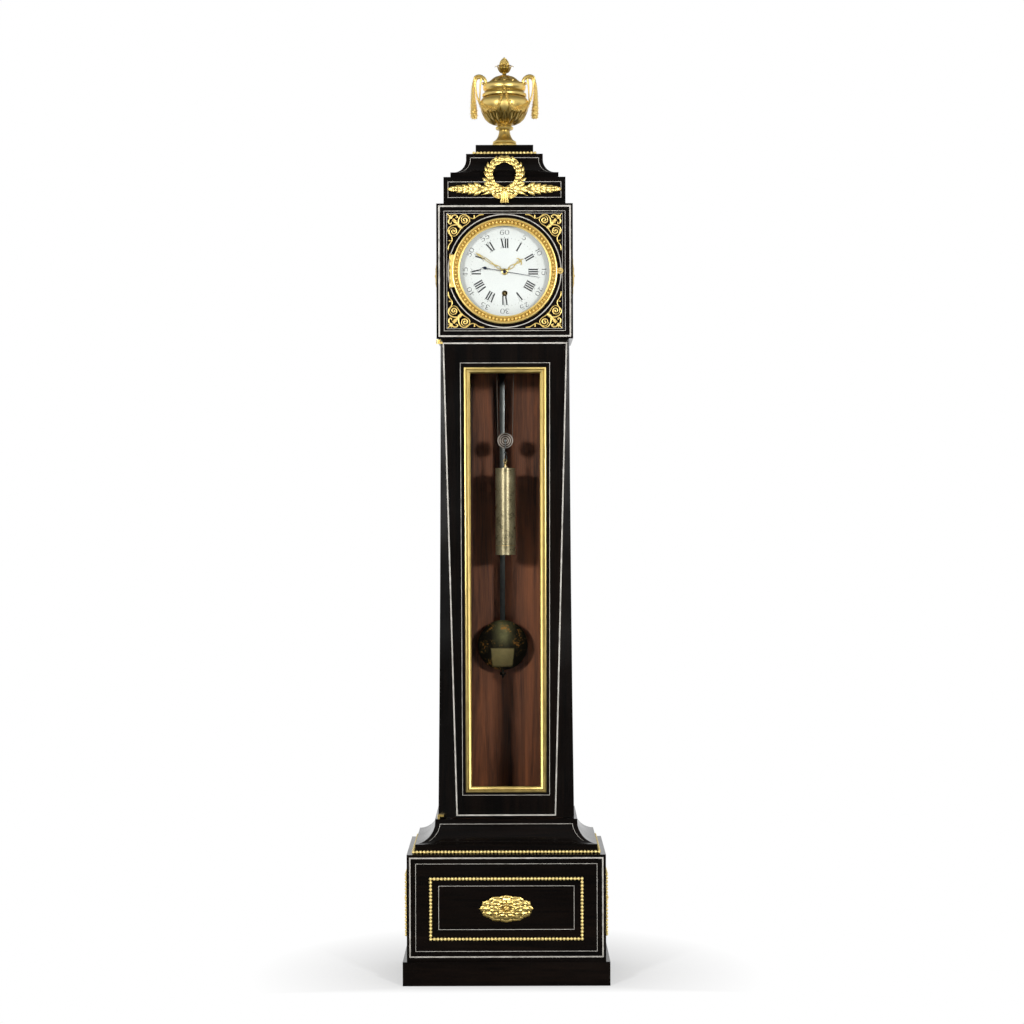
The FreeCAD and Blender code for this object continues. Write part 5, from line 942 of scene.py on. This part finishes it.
# laurel wreath, its two sprays and the ribbon that ties them
wreath = {
    "height": 1938,
    "ring": 36,
    "rope": (2.5, 5.6, 0.55),  # height, thickness and flattening of the ring under the leaves
    "leaf": (20, 7.8, 1.8, -0.4, 0.22, 0.9),
    "rows": 12,
    "sweep": (4, 166),  # degrees up each side
    # lean, distance from the ring, height and size of the leaves in a row
    "row": [(0.58, 4.6, 2.0, 1.08), (0.20, 1.4, 4.6, 1.0), (-0.20, -2.2, 5.2, 0.92), (-0.44, -4.4, 2.6, 0.80)],
    "drop": -34,  # the sprays' middle under the wreath's centre
    # distance out, lean, length and width of a spray's pairs of leaves
    "spray": [(10, 0.1, 26, 8), (18, 0.36, 34, 10), (24, 0.04, 30, 9), (34, 0.22, 26, 8), (46, 0.3, 22, 7),
              (54, 0.66, 25, 10), (58, 0.36, 28, 11), (62, 0.06, 28, 10), (70, 0.6, 22, 9), (76, 0.26, 26, 10),
              (84, 0.48, 21, 8), (88, 0.1, 27, 9), (96, 0.36, 22, 8), (102, 0.16, 25, 8), (112, 0.24, 18, 6),
              (112, 0.03, 26, 8)],
    # x, y from the sprays' middle, height and thickness of what lies on each side
    "stem": [(6, -4, 2, 2.4), (50, 1, 2.5, 2), (90, 0, 2.5, 1.6), (130, 0, 2, 0.8)],
    "twig": [(26, -4, 2, 1.6), (40, -10, 3, 1.4), (56, -15, 1.5, 1.1)],
    "ribbon": [(2, -6, 3, 1.2), (6, -16, 3, 1.9), (14, -20.5, 3, 2.2), (24, -16, 3, 2.1), (31, -8, 3, 1.8),
               (39, -2, 3, 1.2)],
    "fold": [(4.0, -6, 6.2, 2.2), (5.8, -16, 5.0, 2.8), (7.2, -26, 3.6, 3.0), (8.0, -32.5, 2.4, 2.8)],
    "knot": [(-6.2, 2, 3, 2), (-3, -1, 6.8, 2.5), (3, -1, 6.8, 2.5), (6.2, 2, 3, 2)],
    "sprayLeaf": (2.2, -1, 0.26, 0.9),
    # where the strands of the ribbon, its hanging folds and its knot lie beside each other
    "ribbonRows": (-2.8, 0, 2.8),
    "foldRows": (-1.0, -0.34, 0.34, 1.0),
    "knotRows": (-3.6, 0, 3.6),
}


def makeWreath():
    bm = bmesh.new()
    place = onFace("capFront", wreath["height"])[0]
    ring, last = wreath["ring"], wreath["rows"] - 1
    level, thick, flat = wreath["rope"]
    rope = [(*onCircle(ring, math.tau * step / 24 - math.pi / 2), level, thick) for step in range(25)]
    stamp(bm, tube(rope), place @ scaled(1, 1, flat))
    shape = leaf(*wreath["leaf"])
    first, sweep = wreath["sweep"]
    for side in (1, -1):
        for row in range(last + 1):
            share = row / last
            turn = math.radians(first + sweep * share)
            heading = math.pi / 2 - side * (math.pi / 2 - turn)
            for lean, reach, lift, grow in wreath["row"]:
                out = ring + reach * (1 - 0.3 * share)
                wander = 0.10 * math.sin(row * 2.3 + lean * 9)
                aim = turned(heading - side * (lean * (1 - 0.45 * share) + wander))
                roll = turned(side * 0.35 * math.sin(row * 1.7 + lean * 5), "X")
                grow *= 1 - 0.22 * share
                stamp(bm, shape, place @ shifted(side * out * math.sin(turn), -out * math.cos(turn), lift)
                      @ aim @ roll @ scaled(grow, grow, grow))
    tied = place @ shifted(0, wreath["drop"], 0)
    for side in (1, -1):
        flip = tied @ scaled(side, 1, 1)
        stamp(bm, tube(wreath["stem"]), flip)
        for number, (out, lean, long, wide) in enumerate(wreath["spray"]):
            shape = leaf(long, wide, *wreath["sprayLeaf"])
            for way in (1, -1):
                stamp(bm, shape, flip @ shifted(out, way, 2.4 + 1.4 * (number % 3)) @ turned(way * lean))
        stamp(bm, tube(wreath["twig"][:2] + [(56, -15 - side, 1.5, 1.1)]), flip)
        waved = [(x, y, z + 3 * math.sin(step * 1.2), size) for step, (x, y, z, size) in enumerate(wreath["ribbon"])]
        stamp(bm, tube(waved), *[flip @ shifted(0, offset, 0) for offset in wreath["ribbonRows"]])
    for offset in wreath["foldRows"]:
        stamp(bm, tube([(x * offset, y, z, size) for x, y, z, size in wreath["fold"]]), tied)
    stamp(bm, tube(wreath["knot"]), *[tied @ shifted(0, level, 0) for level in wreath["knotRows"]])
    makePiece("wreathMount", bm, "hood", "gilt", "gilt", "wreath_mount")


makeWreath()
print("wreath made")


# bezel with its row of lobes, hinge and latch
bezel = {
    "proud": 0.3,
    "profile": [(108.4, 0), (108.4, 3), (109.2, 4.4), (110.8, 5), (112.4, 4.4), (113.2, 3.2), (113.8, 1),
                (118, 0.6), (121.2, 1.2), (122, 4.8), (122.8, 8), (124.2, 9.2), (125.8, 8.8), (127, 6.2), (127.4, 0)],
    "lobes": 80,
    # distance out, height and radii of a lobe, and of the bar between two
    "lobe": (118.1, 2.6, (4.4, 3.1, 4.6)),
    "bar": (121.2, 4, (1.8, 0.9, 2.2)),
    "flap": (126.2, 129.6, 3, 1.8),  # inner radius, outer edge, height and thickness of the hinge's leaf
    "flapTurn": (162, 36),  # degrees where it starts and that it takes up
    "latch": 133.3,
    "tab": [(0, 0), (7.5, 0), (7.5, 2.0), (6.8, 2.6), (0, 2.6)],
    "knob": [(0, 2.8), (4.4, 2.8), (4.8, 3.4), (4.2, 4.4), (2.6, 5.0), (3.4, 6.6), (3.6, 8.2), (2.4, 9.4), (0, 9.6)],
    "hinge": (-131.2, -84.35, 1662.8, 1746.8),  # place, foot and head of its barrel
    "knuckles": 5,
}


def makeBezel():
    bm = bmesh.new()
    place = onFace("hoodFront", dialHeight, bezel["proud"])[0]
    latch = place @ shifted(bezel["latch"], 0, 0)
    stamp(bm, lathe(bezel["profile"] + bezel["profile"][:1], 160, 30), place)
    for part, shape, offset in (("lobe", ball(1, 10, 6), 0), ("bar", ball(1, 6, 4), 0.5)):
        out, level, radii = bezel[part]
        stamp(bm, shape, *[place @ turned(math.tau * (number + offset) / bezel["lobes"]) @ shifted(out, 0, level)
                           @ scaled(*radii) for number in range(bezel["lobes"])])
    inner, outer, level, thick = bezel["flap"]
    first, sweep = bezel["flapTurn"]
    arc = [onCircle(inner, math.radians(first + sweep * step / 10)) for step in range(11)]
    flap = arc + [(-outer, arc[-1][1]), (-outer, arc[0][1])]
    stamp(bm, plate([flap], thick, False), place @ shifted(0, 0, level))
    stamp(bm, lathe(bezel["tab"], 24), latch)
    makePiece("bezelRing", bm, "bezel", "bezelGilt", "gilt", "bezel_ring")
    makeSingle("latchKnob", lathe(bezel["knob"], 24), latch, "bezel_latch", "burnished", "gilt", "bezel_latch")
    across, front, low, high = bezel["hinge"]
    pitch = (high - low) / bezel["knuckles"]
    profile = [(0, low)]
    for number in range(bezel["knuckles"]):
        foot = low + pitch * number
        profile += [(1.6, foot + 0.2), (2.1, foot + 1), (2.1, foot + pitch - 1), (1.6, foot + pitch - 0.2)]
    makeSingle("bezelHingeBarrel", lathe(profile + [(0, high)], 16), shifted(across, front, 0), "hood", "gilt",
               "gilt", "bezel_hinge")


makeBezel()
print("bezel made")


# pierced scroll spandrels, drawn inwards from one corner
spandrel = {
    "corner": 138.8,
    "proud": 0.7,
    "slim": 0.74,  # share of the thicknesses that is drawn
    "flat": 0.8,
    "husk": (15, 10, 1, 0.6, 0.20, 0.8, (8, 4), 2, 0.25),
    "huskPlace": (26.5, 26.5, 0.4),
    # x, y and thickness along the stem, the ring, the lobe, the curl, two buds at the corner, the husk's twig and
    # its bud, a tie and the spiral
    "strips": [
        [(28.5, 30, 2.4), (27.2, 23, 2.8), (28, 15, 2.4), (32, 6.5, 1.9), (39.5, 2.4, 1.7), (46.5, 3.4, 1.8),
         (51.5, 8, 1.8), (57, 11.8, 1.6), (64, 13, 1.6), (70, 9.8, 1.4), (75.5, 5.2, 1.6), (82, 3, 2.4),
         (89, 3, 1.2)],
        [(34.5, 36, 2), (40, 31.2, 1.5), (48, 26.8, 1.2), (54.5, 21, 1.1), (55.2, 14, 1.1), (51, 8.2, 1.1),
         (44, 5.6, 1.1), (37.5, 8, 1.1), (34.2, 14, 1.2), (35.8, 20.5, 1.2), (40.5, 23.2, 0.8)],
        [(11, 13, 1.8), (11.8, 7.5, 2.2), (16, 4, 2.6), (22.5, 4, 2.6), (26.2, 8, 2), (24, 11.2, 1.8),
         (20.5, 10.4, 1.2)],
        [(65.5, 12.2, 1.2), (66.2, 8, 1.3), (65.8, 4.5, 2.3)],
        [(10, 12.5, 2.4), (6, 7, 1.6), (1.8, 1.2, 1)],
        [(10.5, 11.5, 1.4), (9.8, 6, 1.1), (10, 1.8, 0.8)],
        [(13, 16, 2.6), (18, 20, 2.2), (24, 25, 2.6), (30, 31, 3.6)],
        [(18, 20, 1.2), (21.5, 19, 1.3), (22.5, 16.5, 1.9)],
        [(39, 22.6, 1), (43, 20.5, 1.2)],
        [(35, 20, 1.2), (39.2, 24, 1.6), (46.2, 22.8, 2.1), (49.4, 17.8, 2.5), (47.6, 12.6, 2.4), (42.8, 11.2, 2),
         (39.4, 14.2, 1.9), (40.6, 18.2, 2.1), (44.4, 17.8, 2.5)],
    ],
}


def makeSpandrels():
    quarter = bmesh.new()
    for swapped in (False, True):
        for strip in spandrel["strips"]:
            path = [((y, x) if swapped else (x, y)) + (0, size * spandrel["slim"]) for x, y, size in strip]
            stamp(quarter, tube(path), upright)
    stamp(quarter, leaf(*spandrel["husk"]), shifted(*spandrel["huskPlace"]) @ turned(math.pi / 4))
    bmesh.ops.scale(quarter, verts=quarter.verts, vec=(1, 1, spandrel["flat"]))
    shape = makeMesh("scrolls", quarter, 60, 0)
    bm = bmesh.new()
    corner = spandrel["corner"]
    centre = onFace("hoodFront", dialHeight, spandrel["proud"])[0]
    for across in (1, -1):
        for up in (1, -1):
            stamp(bm, shape, centre @ shifted(-across * corner, up * corner, 0) @ scaled(across, -up, 1))
    makePiece("cornerScrolls", bm, "hood", "bezelGilt", "gilt", "corner_spandrels")


makeSpandrels()
print("spandrels made")


# hour numerals, minute figures and dots
dialMarks = {
    "front": -62.4,
    "proud": 0.12,
    "hourMiddle": 68.8,
    "hourHeight": 22.6,
    "figureMiddle": 95.2,
    "figureHeight": 10.8,
    "dots": 82.4,
    "numerals": ["XII", "I", "II", "III", "IIII", "V", "VI", "VII", "VIII", "IX", "X", "XI"],
    "spans": {"I": 5.4, "V": 9.0, "X": 9.4},
    "bold": 3.3,
    "hair": 0.5,
    "serif": 0.85,  # half its length as a share of a bold stroke
    # x, y and half the width at each point of a figure's strokes, and its span, in hundredths of its height
    "figures": {
        "0": [[(44, 0, 2.5), (10, 6, 5), (0, 50, 8.5), (10, 94, 5), (44, 100, 2.5), (78, 94, 5), (88, 50, 8.5),
              (78, 6, 5), (44, 0, 2.5)]],
        "1": [[(10, 84, 2), (26, 92, 3), (34, 100, 5)], [(34, 100, 7.5), (34, 0, 7.5)], [(16, 1, 2.2), (52, 1, 2.2)]],
        "2": [[(8, 74, 7), (12, 96, 3), (44, 104, 4), (80, 84, 8.5), (62, 48, 5), (10, 4, 2.2)], [(10, 6, 3),
              (34, 12, 6), (62, 0, 6), (84, 18, 2.5)]],
        "3": [[(10, 86, 6), (20, 100, 3), (60, 106, 6), (76, 72, 7.5), (34, 54, 2.2)], [(34, 54, 2.2),
              (86, 50, 8.5), (80, -2, 7), (34, -4, 2.2), (8, 12, 6)]],
        "4": [[(58, 100, 2.2), (4, 30, 2.2)], [(4, 28, 2.5), (88, 28, 2.5)], [(60, 100, 7), (60, 0, 7)],
              [(42, 1, 2.2), (78, 1, 2.2)]],
        "5": [[(18, 98, 4), (46, 90, 5), (78, 104, 2)], [(20, 98, 2.2), (14, 54, 2.2)], [(14, 54, 2.5), (50, 72, 4),
              (90, 44, 8.5), (72, 0, 6), (34, -4, 2.2), (8, 12, 6)]],
        "6": [[(78, 90, 5), (58, 106, 2.2), (16, 90, 5), (0, 40, 8.5), (16, 0, 5), (60, -4, 4), (88, 28, 8),
              (66, 60, 4), (30, 60, 2.2), (10, 40, 3)]],
    },
    "figureSpans": {"1": 72},
    "figureSpan": 112,
    "winding": -52,
    "collet": [(5.8, -1.0), (5.8, 0.4), (6.4, 0.7), (7.0, 0.2), (7.0, -0.2)],
}


def addStroke(bm, place, start, end, width):
    start, end = Vector(start), Vector(end)
    side = (end - start).orthogonal().normalized() * width / 2
    quad = bmesh.new()
    quad.faces.new([quad.verts.new((*corner, dialMarks["proud"]))
                    for corner in (start - side, end - side, end + side, start + side)])
    stamp(bm, makeMesh("stroke", quad, 40, 0), place)


# strokes as the share of the letter's reach at their head and foot, the bold one first, and where the serifs stand
letters = {
    "I": ([(0, 0)], [(0, -1), (0, 1)]),
    "V": ([(-0.8, 0.1), (1, 0.3)], [(-0.8, 1), (1, 1)]),
    "X": ([(-0.75, 0.75), (0.8, -0.8)], [(-0.78, -1), (-0.78, 1), (0.78, -1), (0.78, 1)]),
}


def addNumeral(bm, place, text):
    half, bold, hair = dialMarks["hourHeight"] / 2, dialMarks["bold"], dialMarks["hair"]
    serif = bold * dialMarks["serif"]
    x = -sum(dialMarks["spans"][letter] for letter in text) / 2
    for letter in text:
        span = dialMarks["spans"][letter]
        middle, reach = x + span / 2, span / 2 - bold * 0.35
        strokes, feet = letters[letter]
        for (head, foot), width in zip(strokes, (bold, hair)):
            addStroke(bm, place, (middle + reach * head, half), (middle + reach * foot, -half), width)
        for foot, end in feet:
            spot, level = middle + reach * foot, end * (half - hair / 2)
            addStroke(bm, place, (spot - serif, level), (spot + serif, level), hair)
        x += span


def addFigure(bm, place, text):
    unit = dialMarks["figureHeight"] / 100
    whole = bmesh.new()
    x = 0
    for letter in text:
        for path in dialMarks["figures"][letter]:
            spots = [((x + across) * unit, (up - 50) * unit, 0, half * unit) for across, up, half in path]
            stamp(whole, tube(spots, 1, len(path) > 2), upright)
        x += dialMarks["figureSpans"].get(letter, dialMarks["figureSpan"])
    shape = makeMesh("figure", whole, 40, 0)
    reach = [vert.co.x for vert in shape.vertices]
    middle = (min(reach) + max(reach)) / 2
    stamp(bm, shape, place @ shifted(-middle, 0, dialMarks["proud"] / 2) @ scaled(1, 1, 0.08))


def makeDialMarks():
    centre = facing((0, dialMarks["front"], dialHeight))
    bm = bmesh.new()
    for hour, text in enumerate(dialMarks["numerals"]):
        spot = centre @ turned(-math.tau * hour / 12)
        addNumeral(bm, spot @ shifted(0, dialMarks["hourMiddle"], 0), text)
        addFigure(bm, spot @ shifted(0, dialMarks["figureMiddle"], 0), str(hour * 5 or 60))
    small, large = [lathe([(0, 0.2), (radius - 0.1, 0.12), (radius, 0)], 8) for radius in (0.7, 1.0)]
    for minute in range(60):
        stamp(bm, small if minute % 5 else large,
              centre @ turned(math.tau * minute / 60) @ shifted(0, dialMarks["dots"], 0))
    makePiece("dialFigures", bm, "case", "ink")
    makeSingle("windingCollet", lathe(dialMarks["collet"], 32), centre @ shifted(0, dialMarks["winding"], 0), "case",
               "brass", "brass")


makeDialMarks()
print("dial figures drawn")


# pierced gilt hands for hours and minutes, a thin blued one for seconds, with half of each outline
hands = {
    "hour": {"angle": 55, "body": "hour_work", "node": "hour_hand", "finish": "toned", "slot": "gilt",
             "front": -65.2, "bore": 4.9, "boss": 8.0, "chamfer": 0.9,
             "outline": [(7.9, 1.6), (10.5, 1.4), (13, 3), (18.5, 4.5), (25, 3.6), (31, 1.8), (34.5, 1.2),
                         (36.5, 2), (39.5, 3.6), (42.5, 3), (45.2, 1.4), (44.6, 5.2), (42.4, 8.4), (40.8, 10),
                         (43.2, 10), (46.2, 7.6), (47.6, 4), (48.4, 1.4), (52, 1), (56, 0)],
             "holes": [[(14, 0), (16.5, 2.2), (19.5, 2.9), (24.5, 2.1), (29.5, 0)],
                       [(38, 0), (40, 1.8), (42.2, 1.2), (43.4, 0)]]},
    "minute": {"angle": 303, "body": "minute_work", "node": "minute_hand", "finish": "toned", "slot": "gilt",
               "front": -68.4, "bore": 3.4, "boss": 6.4, "chamfer": 0.9,
               "outline": [(6.3, 1.4), (9.5, 1.2), (12, 2.8), (18, 4.3), (24, 3.4), (28.5, 1.5), (31.5, 1.1),
                           (34, 2), (40, 2.7), (52, 3.1), (64, 2.6), (72, 1.8), (74.5, 3), (76.5, 1.6), (80, 1.2),
                           (86, 0)],
               "holes": [[(13, 0), (15.5, 2.1), (18.5, 2.7), (22.5, 2), (26.2, 0)],
                         [(35, 0), (40, 1.3), (52, 1.7), (64, 1.2), (70, 0)]]},
    "second": {"angle": 99.9, "body": "escape_wheel", "node": "second_hand", "finish": "blued", "slot": "blued_steel",
               "front": -71.6, "bore": 0, "boss": 4.2, "chamfer": 0.8,
               "outline": [(-56, 0), (-53.5, 1), (-50, 3.4), (-45.5, 3.6), (-43.8, 1), (-42, 0.7), (-20, 0.7),
                           (-4.2, 0.8), (4.2, 0.8), (40, 0.6), (85.2, 0.5), (86, 0)],
               "holes": []},
}


def bothSides(points):
    return points + [(x, -y) for x, y in reversed(points) if y]


def makeHand(name):
    size = hands[name]
    bore, boss = size["bore"], size["boss"]
    bm = bmesh.new()
    spot = facing((0, size["front"], dialHeight)) @ turned(math.radians(90 - size["angle"]))
    stamp(bm, plate([bothSides(outline) for outline in [size["outline"], *size["holes"]]], 0.72), spot)
    profile = [(bore, -0.4), (boss, -0.4), (boss, 0.1), (boss * size["chamfer"], 0.4), (bore, 0.4)]
    stamp(bm, lathe(profile + profile[:1] if bore else profile, 32, 30), spot)
    makePiece(name + "HandPierced", bm, size["body"], size["finish"], size["slot"], size["node"])


for handName in hands:
    makeHand(handName)
print("hands made")


# pendulum: flat rod, lens-shaped bob and rating nut
swing = {
    "place": (-8, 109),
    "bob": (793.3, 62, 13),  # middle, radius and half its thickness
    "lens": [(0, 1), (0.3, 0.95), (0.6, 0.78), (0.85, 0.46), (0.97, 0.2), (1, 0.1)],  # shares of radius and thickness
    "rod": (12.4, 3, 849.1, 1760.3),  # width, thickness, foot and head
    "rounding": 0.4,
    # radius and height of the rating nut
    "nut": [(0, 711.3), (2, 711.3), (2.2, 717.3), (3.4, 717.5), (7.2, 718.8), (7.6, 720.3), (7.6, 724.3), (7, 725.8),
            (3.4, 726.3), (2.6, 735.3), (0, 735.3)],
}


def makePendulum():
    x, y = swing["place"]
    level, radius, half = swing["bob"]
    lens = [(radius * out, half * up) for out, up in swing["lens"]]
    bob = lathe(lens + [(out, -up) for out, up in reversed(lens)], 96)
    makeSingle("pendulumBob", bob, facing((x, y, level)), "pendulum", "bobBrass", "dark_brass", "pendulum")
    wide, deep, low, high = swing["rod"]
    bm = bmesh.new()
    bmesh.ops.create_cube(bm, size=1)
    bmesh.ops.scale(bm, verts=bm.verts, vec=(wide, deep, high - low))
    bmesh.ops.bevel(bm, geom=bm.edges[:], offset=swing["rounding"], segments=2, affect="EDGES", profile=0.5,
                    material=-1)
    rod = makeMesh("rod", bm, 30)
    makeSingle("pendulumRod", rod, shifted(x, y, (high + low) / 2), "pendulum", "rod", "steel")
    makeSingle("ratingNut", lathe(swing["nut"], 24, 30), shifted(x, y, 0), "pendulum", "bobBrass", "brass")


makePendulum()
print("pendulum made")

# the weight's pulley hangs in a slim stirrup over a hook and a knob; the weight has a raised band
hanging = {
    "depth": 30,
    "axle": 1299.8,
    # from the axle
    "arm": [(6.2, 0, 1), (6.2, -16, 1), (5.8, -22.5, 1), (2, -26.5, 1.2), (0, -27, 1.2)],
    "cap": [(0, 0), (3.6, 0), (3.6, 0.6), (2.4, 1.0), (0, 1.1)],
    "capOut": 5.7,
    "swivel": [(0, -34.5), (1.6, -34.0), (2.0, -31.5), (3.0, -30.5), (3.0, -28.0), (1.8, -26.2), (0, -25.8)],
    "hook": [(0, -33, 1), (3.2, -37.5, 1.2), (4, -43, 1.4), (1.8, -48, 1.4), (-1.6, -48.2, 1.3), (-3.4, -45.5, 1.1),
             (-3, -42.5, 0.8)],
    # and from the weight's top
    "weightTop": 1237.3,
    "knob": [(5.2, -0.2), (5.0, 1.2), (2.6, 2.6), (2.2, 5.2), (3.4, 7.0), (3.0, 9.4), (0, 10.4)],
    "eye": (4.2, 13.5, 1.0),
    "band": (24.6, 1042.5),
}


def makeHanging():
    y, axle = hanging["depth"], hanging["axle"]
    bm = bmesh.new()
    for side in (1, -1):
        stamp(bm, tube([(0, side * out, axle + up, size) for out, up, size in hanging["arm"]]), shifted(0, y, 0))
        stamp(bm, lathe(hanging["cap"], 16), facing((0, y + side * hanging["capOut"], axle), (-side, 0, 0)))
    stamp(bm, lathe(hanging["swivel"], 16), shifted(0, y, axle))
    stamp(bm, tube([(x, 0, z, size) for x, z, size in hanging["hook"]]), shifted(0, y, axle))
    makePiece("pulleyStirrup", bm, "weight", "agedSteel", "steel", "pulley_stirrup")
    bm = bmesh.new()
    top = shifted(0, y, hanging["weightTop"])
    stamp(bm, lathe(hanging["knob"], 20), top)
    radius, level, thick = hanging["eye"]
    ring = [onCircle(radius, math.tau * step / 12) for step in range(13)]
    stamp(bm, tube([(across, 0, level + up, thick) for across, up in ring]), top)
    radius, level = hanging["band"]
    band = lathe([(radius - 0.6, level - 1), (radius + 0.5, level - 0.6), (radius + 0.5, level + 0.6),
                  (radius - 0.6, level + 1)])
    stamp(bm, band, shifted(0, y, 0))
    makePiece("weightBandKnob", bm, "weight", "brass", "brass")


makeHanging()
print("stirrup and weight trimmings made")


# the gut from under the seat board round the pulley, which lengthens as the weight drops
gut = {
    "radius": 0.9,
    "pulley": 17.6,
    "barrel": 24,
    "barrelHeight": 1652.8,
    "cut": 1578,
}


def makeGut():
    y, axle, cut, radius = hanging["depth"], hanging["axle"], gut["cut"], gut["pulley"]
    lean = math.asin((gut["barrel"] - radius) / (gut["barrelHeight"] - axle))
    turn = [onCircle(radius, -lean - (math.pi - 2 * lean) * step / 20) for step in range(21)]
    x, low = turn[0]
    spread = x + (cut - axle - low) * math.tan(lean)
    path = [(spread, cut - axle)] + turn + [(-spread, cut - axle)]
    bm = bmesh.new()
    bm.from_mesh(tube([(across, y, axle + up, gut["radius"]) for across, up in path], 2, False))
    line = makePiece("gutRunning", bm, None, "gut", "gut", "gut_line")
    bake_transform(line)


makeGut()
print("gut drawn")
